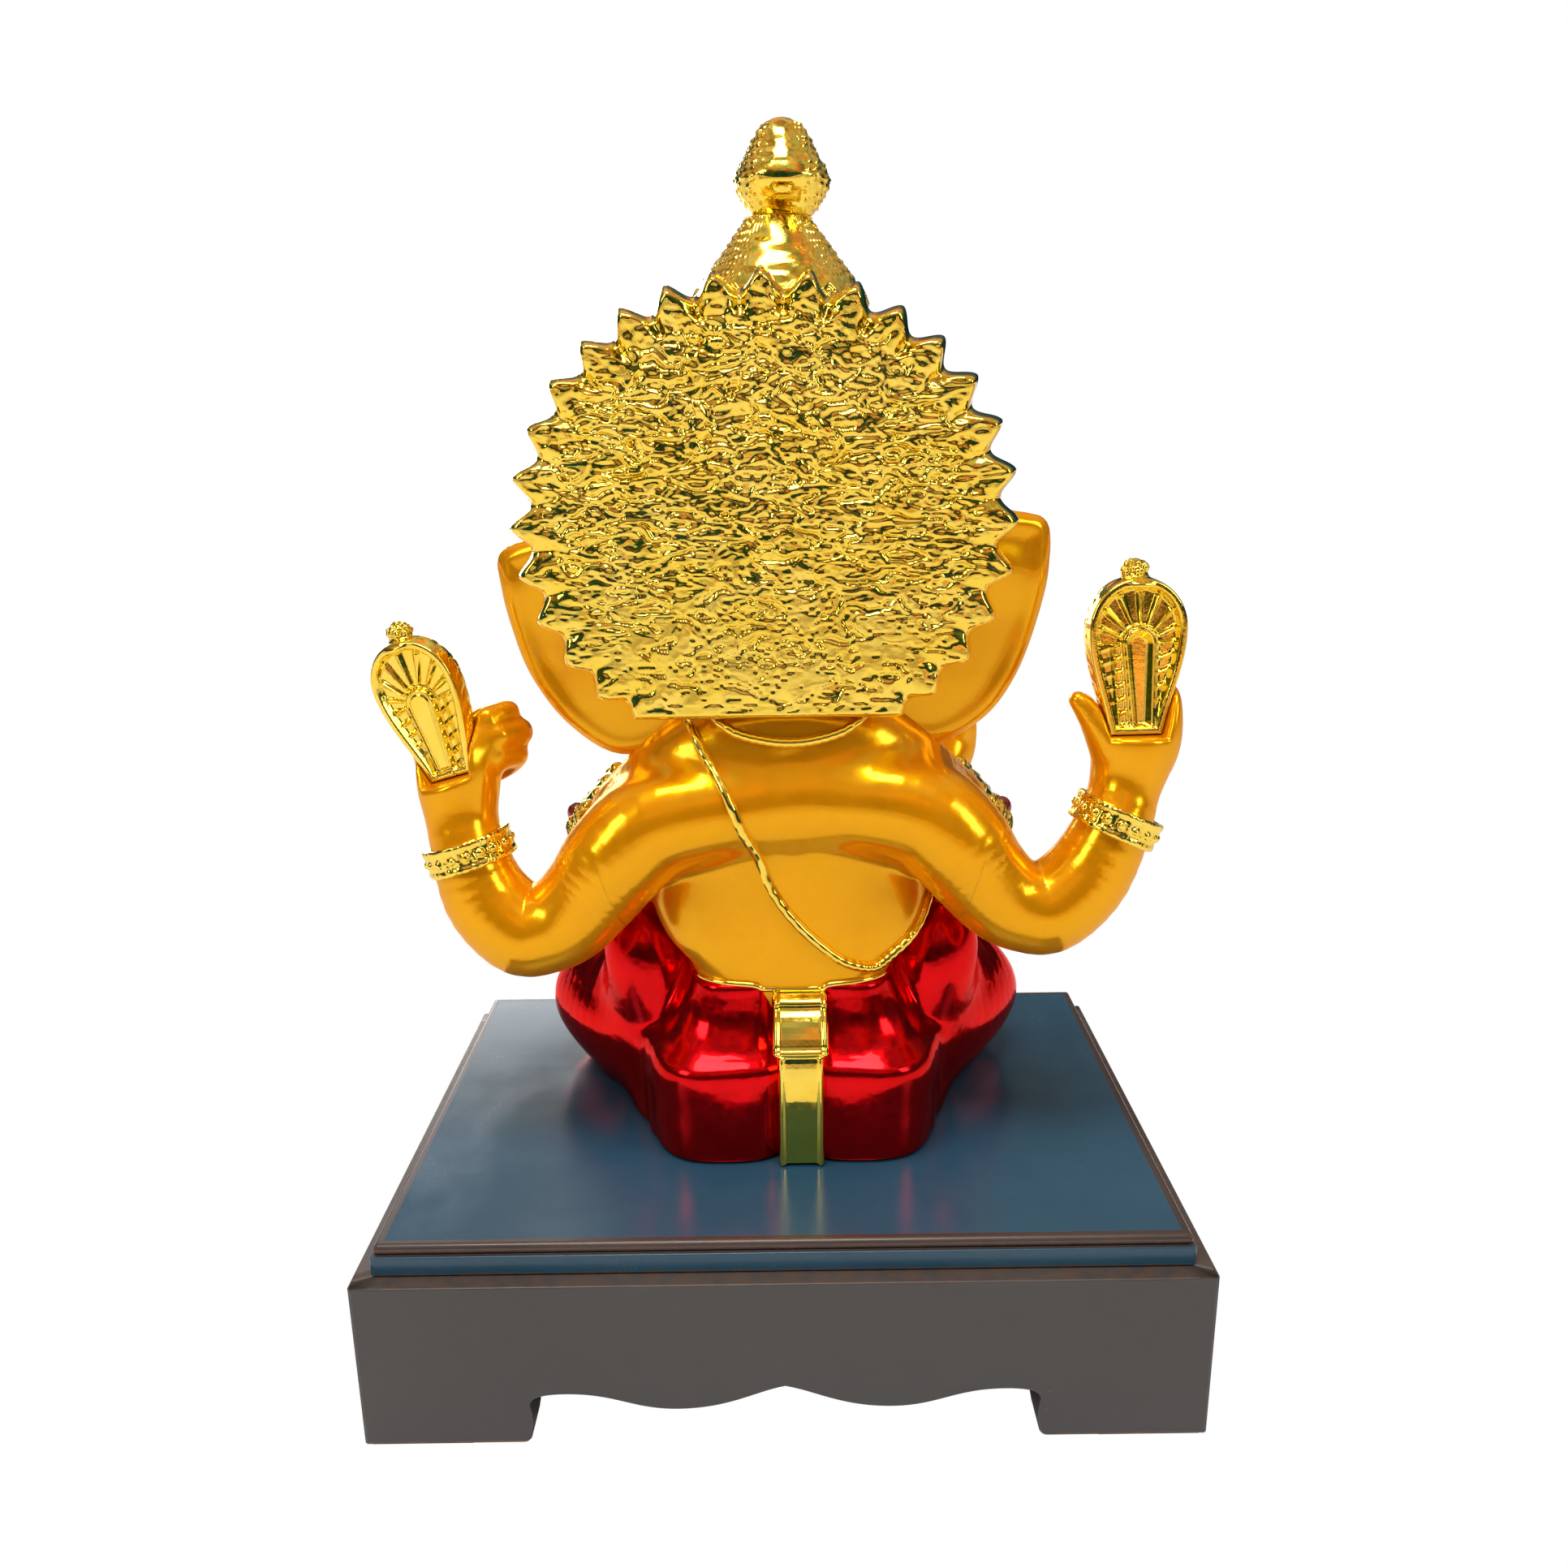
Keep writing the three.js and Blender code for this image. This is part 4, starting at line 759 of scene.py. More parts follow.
def make_skin():
    limbs = {}
    for side, s in (("left", 1), ("right", -1)):
        rear = [tube(REAR_ARM[side], 46)] + rear_hand(s, *((82.5, 14, 103) if s > 0 else (-86, 14, 108)))
        fore = [tube(FRONT_ARM[side], 42)] + (bowl_hand(17, -53, 54.6) if s > 0 else blessing_hand(-46, -47.5, 91))
        limbs["rear_%s_arm" % side] = rear
        limbs["front_%s_arm" % side] = fore
    boxes = {"rear_left_arm": ((-8, -12, 40), (98, 40, 126)), "rear_right_arm": ((-104, -12, 40), (8, 40, 130)),
             "front_left_arm": ((-10, -76, 40), (66, 18, 104)), "front_right_arm": ((-66, -66, 40), (-8, 18, 120))}

    def limb_field(name):
        lo, hi = [np.array(v, float) - g for v, g in zip(boxes[name], (8, -8))]

        def f(P):
            d = np.full(len(P), 60.0)
            near = np.flatnonzero(((P > lo) & (P < hi)).all(1))
            if len(near):
                Q = P[near]
                v = limbs[name][0](Q)
                for i, part in enumerate(limbs[name][1:]):
                    v = smin(v, part(Q), 6.0 if i == 0 else 3.4 if i == 1 else 1.8)
                if name.startswith("rear"):
                    v = smax(v, -held_room(name[5:-4], Q), 1.6)
                d[near] = v
            return d
        return f

    fields = {name: limb_field(name) for name in limbs}

    def skin(P):
        d = torso_field(P)
        for name in ("front_left_arm", "front_right_arm"):
            d = smin(d, fields[name](P), 7.0)
        for name in ("rear_left_arm", "rear_right_arm"):
            d = smin(d, fields[name](P), 4.2)
        return d
    return skin, fields


skin, limb_fields = make_skin()


def split_skin(V, Q, N):
    """Parts the one blended skin into the body and its four arms along the glued seams."""
    own = np.stack([limb_fields[n](V) for n in SEAM], 1)
    body = torso_field(V)
    label = np.zeros(len(V), int)
    nearest = own.argmin(1)
    for i, (n, (p, d)) in enumerate(SEAM.items()):
        past = half_space(p, d)(V) > 0
        if n.startswith("front"):
            past |= (V[:, 0] * (1 if "left" in n else -1) > 47.5) & (V[:, 1] < 8)
            past |= (V[:, 1] < -41) & (own[:, i] < body)
        label[(nearest == i) & past & (own[:, i] < body + 1.0)] = i + 1
    face = np.sort(label[Q], axis=1)
    face = np.where((label[Q] == face[:, 1:2]).sum(1) >= 2, face[:, 1], face[:, 2])
    # lone patches stay in each label here; build_skin gives them back to the body
    pieces_out = {}
    for i, n in enumerate(["torso"] + list(SEAM)):
        pieces_out[n] = np.flatnonzero(face == i)
    return pieces_out


def largest_patch(Q, index):
    """The biggest connected part of some faces, and the rest."""
    parent = np.arange(Q.max() + 1)
    sel = Q[index]
    while True:
        low = parent[sel].min(1)
        nxt = parent.copy()
        for k in range(4):
            np.minimum.at(nxt, sel[:, k], low)
        nxt = nxt[nxt]
        if (nxt == parent).all():
            break
        parent = nxt
    root = parent[sel[:, 0]]
    names, counts = np.unique(root, return_counts=True)
    main = names[counts.argmax()]
    return index[root == main], index[root != main]


def submesh(V, Q, N, index):
    """Some of a mesh's faces as their own closed mesh: each open rim is capped with a fan."""
    q = Q[index]
    used, inv = np.unique(q, return_inverse=True)
    q = inv.reshape(-1, 4)
    v, n = V[used], N[used]
    a, b = q.ravel(), np.roll(q, -1, 1).ravel()
    key = a.astype(np.int64) * (len(v) + 1) + b
    back = b.astype(np.int64) * (len(v) + 1) + a
    rim = ~np.isin(key, back)
    nxt = {}
    for s, t in zip(a[rim], b[rim]):
        nxt.setdefault(s, []).append(t)
    tris, extra, extra_n = [], [], []
    while nxt:
        start = next(iter(nxt))
        loop, at = [start], start
        while True:
            options = nxt[at]
            to = options.pop()
            if not options:
                del nxt[at]
            if to == start:
                break
            loop.append(to)
            at = to
            if at not in nxt:
                break
        centre = v[loop].mean(0)
        c = len(v) + len(extra)
        extra.append(centre)
        e = v[loop]
        normal = np.cross(e - centre, np.roll(e, -1, 0) - centre).sum(0)
        extra_n.append(-normal / max(np.linalg.norm(normal), 1e-9))
        tris += [(loop[(k + 1) % len(loop)], loop[k], c) for k in range(len(loop))]
    if extra:
        v, n = np.concatenate([v, extra]), np.concatenate([n, extra_n])
    return v, q, n, np.array(tris) if tris else None


def build_skin():
    V, Q, N = sculpt(skin, (-103, -78, 28), (100, 42, 126), 0.8, 3)
    parts = split_skin(V, Q, N)
    rest = [parts["torso"]]
    for n in SEAM:
        main, loose = largest_patch(Q, parts[n])
        parts[n] = main
        rest.append(loose)
    parts["torso"] = np.concatenate(rest)
    for n, index in parts.items():
        v, q, nn, tris = submesh(V, Q, N, index)
        me = new_mesh(n, v, q, nn, tris)
        piece(n, me, SKIN, "pearl_gold", n)


# ---- head, trunk, ears ------------------------------------------------------------------------------
TRUNK = [(0, -14, 134, 14), (0, -27, 130, 13), (0, -38, 120, 11.6), (0, -44.5, 106, 9.8), (1.5, -46, 92, 8.4), (7, -48, 84, 7.2),
         (17, -50, 80, 6), (25, -51, 83, 5), (28, -51, 88, 4)]
TUSK = {"left": [(12, -26, 126, 3.6), (16, -36, 121, 3.3), (19, -44, 119, 2.6), (21.5, -50, 120, 1.4)],
        "right": [(-12, -26, 126, 3.6), (-16, -36, 121, 3.3), (-17.6, -40.5, 119.8, 2.9)]}
EAR = {"left": [(14, 128), (16, 148), (30, 157), (48, 157.5), (62, 155.5), (71.5, 151.5), (71.5, 143), (69.5, 132), (65, 120),
                (56, 108.5), (43, 101), (28, 106)],
       "right": [(-14, 130), (-16, 150), (-28, 160), (-44, 161.5), (-56, 160.5), (-64.5, 157.5), (-65, 146), (-62.5, 132.5),
                 (-57.5, 119.5), (-49, 109), (-36, 103), (-24, 108)]}


def head_field(P):
    d = ellipsoid((0, -5, 141), (27.5, 25, 30))(P)
    for s in (-1, 1):
        d = smin(d, ellipsoid((s * 11.5, -12, 152), (13, 16, 12))(P), 8)
        d = smin(d, ellipsoid((s * 13, -24, 129), (8, 9, 8))(P), 7)                      # cheek over the tusk
        d = smin(d, ellipsoid((s * 15.5, -24.5, 148.6), (8, 4.5, 2.6), (0, -s * 12, 0))(P), 4)  # brow
        d = smax(d, -ellipsoid((s * 15.5, -30.5, 143), (5.6, 4.6, 3.4))(P), 3)           # socket
        lid = tube([(s * 9.6, -27, 142, 0.7), (s * 13, -29.2, 145.4, 1.0), (s * 18, -28.2, 145.2, 1.0), (s * 21.4, -24.6, 142.4, 0.7)], 14, 4)
        d = smin(d, lid(P), 1.2)
    d = smin(d, ellipsoid((0, -14, 128), (20, 15, 16))(P), 8)
    mouth = tube([(-11, -28, 113, 1.6), (-6, -31, 110, 2.6), (0, -32, 109, 3.2), (6, -31, 110, 2.6), (11, -28, 113, 1.6)], 24, 8)
    d = smin(d, ellipsoid((0, -22, 114), (11, 10, 8))(P), 6)
    return smin(d, mouth(P), 3)


trunk_core = tube(TRUNK, 60, 16)
TRUNK_LINE = spline(TRUNK, 240)


def trunk_field(P):
    d = trunk_core(P)
    near = np.flatnonzero(np.abs(d) < 2.5)
    if len(near):
        Q = P[near]
        best, at = np.full(len(Q), 1e9), np.zeros(len(Q))
        for k in range(0, 240, 2):
            e = Q - TRUNK_LINE[k, :3]
            r = np.einsum("ij,ij->i", e, e)
            m = r < best
            best[m], at[m] = r[m], k
        # soft rings across the front of the trunk, fading towards its tip
        d[near] = d[near] + 0.16 * np.sin(at * 0.52) * step(20, 60, at) * (1 - step(190, 235, at))
    return d


def head_and_trunk(P):
    return smin(head_field(P), trunk_field(P), 7)


def ear_field(side):
    s = 1 if side == "left" else -1
    outline = closed_spline(EAR[side], 72)
    cx, cz = s * 42, 132

    def f(P):
        flat = polygon_distance(P[:, 0], P[:, 2], outline)
        x, z = np.abs(P[:, 0]), P[:, 2]
        dish = -8 * (np.maximum(0, x - 34) / 37) ** 2 - 3 * np.maximum(0, (122 - z) / 22) ** 2
        fold = 1.5 * np.exp(-((z - 150 + (x - 30) * 0.16) / 7.5) ** 2) * step(24, 40, x)   # the rolled upper edge
        fold = fold - 1.1 * np.exp(-((x - 58 + (z - 130) * 0.1) / 8) ** 2) * step(104, 124, z)  # a hollow down the flap
        half = 1.5 + 1.7 * (1 - step(36, 66, x)) + 0.8 * np.exp(-((flat + 3) / 2.4) ** 2)
        y = P[:, 1] - (8 + dish + fold)
        return smax(flat, np.abs(y) - half, 2.6)
    return f


def build_head():
    V, Q, N = sculpt(head_and_trunk, (-33, -60, 72), (36, 26, 176), 0.8, 3)
    own = trunk_core(V) < head_field(V) - 1.0
    own &= V[:, 1] < -27
    own |= V[:, 2] < 104
    own[Q[(own[Q].sum(1) >= 2)]] |= False
    picked = own[Q].sum(1) >= 2
    main, loose = largest_patch(Q, np.flatnonzero(picked))
    others = np.concatenate([np.flatnonzero(~picked), loose])
    for name, index in (("trunk", main), ("head", others)):
        v, q, nn, tris = submesh(V, Q, N, index)
        piece(name, new_mesh(name, v, q, nn, tris), SKIN, "pearl_gold", name)
    for side in ("left", "right"):
        s = 1 if side == "left" else -1
        lo = (12, -8, 99) if s > 0 else (-73, -8, 99)
        hi = (73, 16, 160) if s > 0 else (-12, 16, 164)
        sculpted(side + "_ear", ear_field(side), lo, hi, 0.75, SKIN, "pearl_gold")
        stations = TUSK[side]
        core = tube(stations, 24, 6)
        tip = np.array(stations[-1][:3])
        if s > 0:
            cut_tusk = core
        else:
            way = np.array(stations[-1][:3], float) - np.array(stations[-2][:3], float)
            cut_tusk = lambda P, core=core, tip=tip, way=way: smax(core(P), half_space(tip + way / np.linalg.norm(way) * 1.4, way + np.array([0.6, 0.2, 0.5]))(P) + 0.25 * noise(P * 1.1, 5), 0.6)
        lo = np.min([q[:3] for q in stations], 0) - 6
        hi = np.max([q[:3] for q in stations], 0) + 6
        sculpted(side + "_tusk", cut_tusk, lo, hi, 0.45, IVORY, "tusk_ivory")
        ball = ellipsoid((s * 15.5, -26.3, 143), (4.9, 3.5, 3.3))
        iris = ellipsoid((s * 14.9, -27.6, 142.8), (2.3, 2.3, 2.3))
        eye = lambda P, ball=ball, iris=iris: smin(ball(P), iris(P) + 0.1, 0.8)
        sculpted(side + "_eye", eye, (s * 15.5 - 6, -31, 138.6), (s * 15.5 + 6, -21, 147.4), 0.35, EYE[side], "eye_enamel")


# ---- dhoti, legs and feet ---------------------------------------------------------------------------
HIP = curve1([(-4, 17, 3, 19.6, 30.6), (2, 17.5, 3, 20.4, 32), (8, 17.5, 3, 20.9, 33), (14, 17.5, 3, 21, 33.6), (20, 17.4, 3, 21.9, 34),
              (24, 17.2, 3, 22, 34), (26.6, 17, 3, 21.3, 33.2), (28.4, 16.8, 2.8, 19.9, 31.4), (31, 16.4, 2.2, 17.6, 29.6), (36, 15.6, 1.2, 15.6, 28),
              (42, 14.5, 0.5, 13.6, 26.8), (50, 13.5, -1, 12.6, 26.2), (58, 13, -2, 10, 20)])
SEAT = closed_spline([(34.6, 22), (40, 15.4), (46, 8.8), (53, 1.5), (60, -6.5), (65.4, -17), (67.8, -28), (65, -38), (55, -47),
                      (38, -50), (18, -48), (-18, -52), (-38, -54), (-52, -50), (-60, -41), (-62.6, -28), (-60.4, -16.5),
                      (-55.5, -6), (-49.5, 2.3), (-43.8, 9.2), (-38.6, 15.6), (-33.6, 22), (0, 26)], 110)
LEG = {"left": [(14, 4, 20, 19), (31.5, -8, 22, 21), (46.8, -22, 22, 19.5), (54.4, -32, 18, 15), (46, -41, 13, 12), (30, -43, 11, 10.5),
                (18, -43, 9.5, 8.5), (12, -43, 9, 6)],
       "right": [(-14, 4, 20, 19), (-30.5, -8, 22, 21), (-44.4, -22, 22, 19.5), (-52, -33, 18, 14.6), (-47, -47, 13, 12), (-32, -54, 11, 10.5),
                 (-20, -57, 9.5, 8.5), (-14, -58, 9, 6)]}
FOOT = {"left": [(16, -43, 8, 6.5), (8, -43, 7.2, 6), (-1, -43, 6, 5.4), (-9, -42, 4.9, 4.9)],
        "right": [(-18, -58, 8, 6.5), (-10, -58.4, 7.2, 6), (-1, -58.6, 6, 5.4), (7, -59, 4.9, 4.9)]}
LEG_TUBE = {side: tube(LEG[side], 52, 10) for side in LEG}


def floor_cut(P):
    return 0.25 - P[:, 2]


def lobe(s):
    def f(P):
        cx, cy, a, b = HIP(P[:, 2])
        x, y = P[:, 0] - s * cx, P[:, 1] - cy
        n = 2.9
        q = ((np.abs(x) / a) ** n + (np.abs(y) / b) ** n) ** (1 / n)
        r = np.sqrt(x * x + y * y)
        d = r * (1 - 1 / np.maximum(q, 1e-4))
        return smax(d, P[:, 2] - 46.6 - 0.012 * np.maximum(np.abs(P[:, 0]) - 20, 0) ** 2, 1.6)
    return f


LOBES = [lobe(1), lobe(-1)]


def hips_only(P):
    d = smin(LOBES[0](P), LOBES[1](P), 3.0)
    # the cloth sags between the waist and the seat: shallow drapes, deepest half way down the shelf
    x, y, z = P.T
    shelf = np.exp(-((z - 36) / 5.6) ** 2) * step(4, 16, y)
    drape = 0.7 * shelf * (0.6 + 0.4 * np.cos((np.abs(x) - 18) * 0.30 + z * 0.16))
    ripple = 0.2 * np.sin(x * 0.5 + 1.7 * np.sin(z * 0.21)) * shelf
    crest = 0.5 * np.sin(np.abs(x) * 0.21 - 0.6) * np.exp(-((z - 26) / 6) ** 2) * step(4, 16, y)
    return d + drape + ripple + crest


FLANK = [ellipsoid((s * 38.5, 1, 41), (11.5, 13.5, 19.5), (0, s * 10, 0)) for s in (1, -1)]


def leg_only(P):
    d = smin(LEG_TUBE["left"](P), LEG_TUBE["right"](P), 1.5)
    for swell in FLANK:
        d = smin(d, swell(P), 9)
    x, y, z = P.T
    # below its widest, each thigh drops to the slab in a steep, slightly undercut wall
    inset = 1.0 + (7.4 - 6.6 * step(-8, 14, y)) * np.maximum(0, 1 - np.maximum(z, 0) / 22) ** 1.4
    near = (z < 34) & (d < 34)
    skirt = np.full(len(P), 30.0)
    if near.any():
        skirt[near] = smax(polygon_distance(x[near], y[near], SEAT) + inset[near], z[near] - 25, 7)
    d = smin(d, skirt, 6.0)
    folds = 0.4 * np.sin(0.42 * z + 0.5 * np.abs(x) + 0.18 * y + 0.8 * np.sin(0.15 * np.abs(x))) * (1 - step(-34, -18, y)) * step(4, 10, z)
    return d + folds


def dhoti(P):
    x, y, z = P.T
    # behind, the waistline runs level over the hips and climbs outwards; in front it is free
    waist = 46.8 + 0.85 * np.maximum(np.abs(x) - 25, 0) + 60 * step(4, -14, y)
    return smax(smax(smin(hips_only(P), leg_only(P), 4.0), z - waist, 3.0), floor_cut(P), 1.0)


def foot_field(side):
    core = tube(FOOT[side], 24, 8)
    s = 1 if side == "left" else -1
    tx, ty = (-11, -42) if s > 0 else (9, -59)
    toes = []
    for k, r in enumerate((2.9, 2.3, 2.15, 2.0, 1.75)):
        y = ty - 4.4 + k * 2.25
        z = 3.6 - 0.1 * k if s > 0 else 3.6 - 0.1 * k
        reach = (-1 if s > 0 else 1) * (4.2 - 0.55 * abs(k - 0.8))
        toes.append(finger((tx + reach * -0.8, y, z + 0.4, r), (tx + reach * 0.4, y, z + 0.2, r * 0.95), (tx + reach, y, z - 0.3, r * 0.86)))
    heel = ellipsoid((17 if s > 0 else -19, -43 if s > 0 else -58, 7.4), (7, 6.4, 6.6))

    def f(P):
        d = smin(core(P), heel(P), 3)
        d = smax(d, 0.3 - P[:, 2], 1.6)
        for t in toes:
            d = smin(d, t(P), 0.9)
        return smax(d, 0.3 - P[:, 2], 0.8)
    return f


def build_dhoti():
    V, Q, N = sculpt(dhoti, (-74, -74, -1), (74, 42, 58), 0.85, 3)
    hip = hips_only(V)
    label = np.zeros(len(V), int)
    for k, side in enumerate(("left", "right")):
        own = LEG_TUBE[side](V)
        own = np.minimum(own, FLANK[k](V))
        label[(own < hip - 0.6) & (V[:, 0] * (1 if side == "left" else -1) > 0.5)] = k + 1
        label[(V[:, 1] < -34) & (own < 6) & (own < LEG_TUBE["right" if side == "left" else "left"](V))] = k + 1
    face = np.sort(label[Q], axis=1)
    face = np.where((label[Q] == face[:, 1:2]).sum(1) >= 2, face[:, 1], face[:, 2])
    rest, mains = [np.flatnonzero(face == 0)], {}
    for k, side in enumerate(("left", "right")):
        mains[side], loose = largest_patch(Q, np.flatnonzero(face == k + 1))
        rest.append(loose)
    for name, index in (("hips", np.concatenate(rest)), ("left_leg", mains["left"]), ("right_leg", mains["right"])):
        v, q, nn, tris = submesh(V, Q, N, index)
        piece(name, new_mesh(name, v, q, nn, tris), CANDY, "candy_red", name)
    sculpted("left_foot", foot_field("left"), (-20, -52, 0), (26, -34, 17), 0.5, SKIN, "pearl_gold")
    sculpted("right_foot", foot_field("right"), (-28, -68, 0), (18, -50, 17), 0.5, SKIN, "pearl_gold")


# ---- ornaments --------------------------------------------------------------------------------------
def frame_of(along):
    w = np.array(along, float)
    w /= np.linalg.norm(w)
    u = np.cross(w, (0.0, 1.0, 0.0) if abs(w[1]) < 0.9 else (1.0, 0.0, 0.0))
    u /= np.linalg.norm(u)
    return np.stack([u, np.cross(w, u), w], 1)  # columns


def ring_field(at, along, radius, height, beads, slack=0.0):
    """A bangle: a band between two rims, set with round beads in cells."""
    c, A = np.array(at, float), frame_of(along)
    period = 2 * np.pi / beads

    def f(P):
        q = (P - c) @ A
        r = np.hypot(q[:, 0], q[:, 1])
        h = q[:, 2]
        phi = np.arctan2(q[:, 1], q[:, 0])
        band = np.maximum(np.abs(r - radius + 1.6) - 1.5, np.abs(h) - height / 2 + 0.5) - 0.25
        rim = np.hypot(r - radius + 0.35, np.abs(h) - height / 2 + 0.75) - 0.85
        fold = (np.mod(phi + period / 2, period) - period / 2) * radius
        bead = np.sqrt((r - radius + 0.25) ** 2 + fold ** 2 + h ** 2) - min(1.15, 0.36 * period * radius)
        cell = np.mod(phi, period) - period / 2
        bar = np.maximum(np.hypot(r - radius + 0.25, cell * radius) - 0.42, np.abs(h) - height / 2 + 0.6)
        grain = 0.10 * noise(P * 1.3, 3)
        return smin(smin(smin(band, rim, 0.5), bar, 0.5), bead, 0.25) + grain
    return f


BANGLE = {"rear_left_bangle": ((80.3, 18, 79.6), (0.30, -0.1, 0.95), 10.8, 7.0, 18),
          "rear_right_bangle": ((-81.2, 18, 85.4), (-0.42, -0.1, 0.90), 10.8, 7.0, 18),
          "front_left_bangle": ((33.5, -43.4, 55.4), (-0.66, -0.74, 0.02), 10, 5.4, 18),
          "front_right_bangle": ((-46.8, -43, 73.4), (0.16, -0.55, 0.82), 10, 5.4, 18),
          "left_anklet": ((14.5, -43, 8.6), (1, 0, 0), 9.8, 4.8, 18), "right_anklet": ((-16.5, -57.6, 8.6), (1, 0, 0), 9.8, 4.8, 18)}


def build_rings():
    for name, (at, along, radius, height, beads) in BANGLE.items():
        field = ring_field(at, along, radius, height, beads)
        if "anklet" in name:
            field = (lambda g: lambda P: smax(g(P), 0.35 - P[:, 2], 0.4))(field)
        c = np.array(at, float)
        sculpted(name, field, c - radius - 3, c + radius + 3, 0.4, GOLD, "gold_plating")
    for side, s in (("left", 1), ("right", -1)):
        at = np.array([s * 44.6, -3.4, 75.0])
        ring = ring_field(at, (s * 0.5, -0.14, -0.86), 15.0, 6.0, 26)
        plaque = ellipsoid((s * 49.6, -4, 87.6), (3.0, 5.6, 10.5), (0, -s * 40, 0))
        petals = [ellipsoid((s * (49.6 - 0.64 * t + 1.6), -4 + w, 87.6 + 0.77 * t), (1.7, 1.9, 1.9))
                  for t, w in ((-9, 0), (-6.5, 4), (-6.5, -4), (-2.5, 5.2), (-2.5, -5.2), (2, 5), (2, -5), (6, 3.6), (6, -3.6), (9, 0), (0, 0), (4.4, 0), (-4.4, 0))]

        def field(P, ring=ring, plaque=plaque, petals=petals, s=s):
            d = smax(ring(P), 43.5 - s * P[:, 0], 0.6)
            return smin(d, smin(plaque(P), union(P, petals, 0.4), 0.5), 0.5)
        lo = (39, -20, 62) if s > 0 else (-64, -20, 62)
        hi = (64, 13, 99) if s > 0 else (-39, 13, 99)
        sculpted(side + "_armlet", field, lo, hi, 0.45, GOLD, "gold_plating")
        sculpted(side + "_armlet_gem", ellipsoid((s * 56.6, -4, 82.6), (2.6, 2.9, 2.9)), (s * 56.6 - 4, -8, 78), (s * 56.6 + 4, 0.4, 87), 0.35, GEM, "red_gem")


# the two held emblems: a hollow-backed shell with a rim, an arch, rays and rungs, and a beaded knob
def arch_distance(x, z, cx, top, half, foot, lean):
    """How far a point is from an upturned-U line, and how far inside it."""
    c = top - half
    side = x - cx - lean * (c - z)
    w = np.where(z < c, half - (half - foot) * np.clip((c - z) / c, 0, 1), half)
    below = np.abs(side) - w
    round_top = np.hypot(side, z - c) - half
    return np.where(z < c, below, round_top)


def emblem_field(side):
    foot, turn, size = EMBLEM[side]
    A = turned_by(turn)
    origin = np.array(foot, float)
    filled = side == "left"
    cx, top, half, narrow, lean = (0.6, 24.5, 3.7, 2.0, 0.05) if filled else (-0.6, 25.5, 3.4, 2.2, -0.06)

    def relief(x, z, flat):
        inset = np.maximum(-flat, 0)
        floor = -1.9 * step(1.2, 2.8, inset)
        d = arch_distance(x, z, cx, top, half, narrow, lean)
        rope = 1.15 * np.exp(-(d / 0.62) ** 2)
        if filled:
            inside = 1.1 * step(-0.2, -1.3, d)
            floor = floor + 0.35 * np.exp(-((d - 1.0) / 0.45) ** 2) * -1
        else:
            rope = rope + 0.55 * np.exp(-((d - 1.25) / 0.4) ** 2)
            inside = -0.7 * step(-0.6, -1.8, d)
        c = top - half
        # rays fan out round the arch, then turn into rungs beside its legs
        angle = np.arctan2(z - c, x - cx)
        fan = np.where(z > c, angle * 2.9, np.where(x > cx, (z - c) / 3.1, math.pi * 2.9 - (z - c) / 3.1) * 1.0)
        bend = 0.35 * np.where(z > c, 0, (np.abs(x - cx) - 6))
        wave = np.cos((fan + bend * 0.35) * 2 * math.pi / 1.12)
        band = step(0.9, 2.0, d) * step(2.2, 3.2, inset)
        rays = (1.15 * np.maximum(0, wave) ** 1.5) * band
        inner = np.where((x < cx) if filled else (x > cx), 1.0, 0.0) * (z < c)
        rail = 0.9 * np.exp(-((d - 3.6) / 0.4) ** 2) * inner
        rays = np.where((inner > 0) & (d > 3.6), 0.15 * rays, rays)
        return floor + (rope + rail) * step(1.6, 2.6, inset) + inside * step(2.0, 3.0, inset) + rays

    bumps = np.random.default_rng(7 if filled else 8).normal(size=(26, 3))
    bumps[:, 2] = np.abs(bumps[:, 2]) + 0.1
    bumps /= np.linalg.norm(bumps, axis=1, keepdims=True)
    knob_at = np.array([0, -4.6, 38.4])

    def f(P):
        q = (P - origin) @ A / size
        x, y, z = q.T
        flat = polygon_distance(x, z, EMBLEM_OUTLINE)
        wall = flat - 0.9 * np.clip(-y / 9, 0, 1.2) - 0.6 * step(30, 38, z) * np.clip(-y / 6, 0, 1)
        # leaf cuts along the side wall
        wall = wall + 0.16 * np.maximum(0, np.sin(z * 1.5 + np.abs(y + 5) * 1.1)) * step(-1.5, -3, y) * step(-8.5, -7, y)
        back = y - relief(x, z, flat)
        front = -y - 9.6 + 1.6 * np.clip((flat + 12) / 12, 0, 1.5) ** 2
        front = front + 0.35 * np.cos(np.arctan2(z - 24, x) * 12) * step(-1, -3, flat) * step(-10, -8, flat)
        d = smax(smax(wall, back, 0.7), front, 5.0)
        d = smax(d, -z - 0.2, 0.8)
        k = np.linalg.norm(q - knob_at - np.array([0, 0, 0.3]), axis=1) - 3.0
        tip = np.linalg.norm(q - knob_at - np.array([0, 0, 2.6]), axis=1) - 1.7
        knob = smin(k, tip, 1.6)
        near = np.flatnonzero(knob < 1.5)
        if len(near):
            e = (q - knob_at)[near]
            best = np.full(len(near), 9.0)
            for b in bumps:
                best = np.minimum(best, np.linalg.norm(e - b * 3.1 - np.array([0, 0, 0.6]), axis=1) - 0.85)
            knob[near] = smin(knob[near], best, 0.35)
        crown_beads = np.hypot(np.hypot(x, y + 5) - 5.2, z - 36.4 + 0.02 * x * x) - 0.7
        return size * smin(smin(d, knob, 1.0), crown_beads, 0.8)
    return f


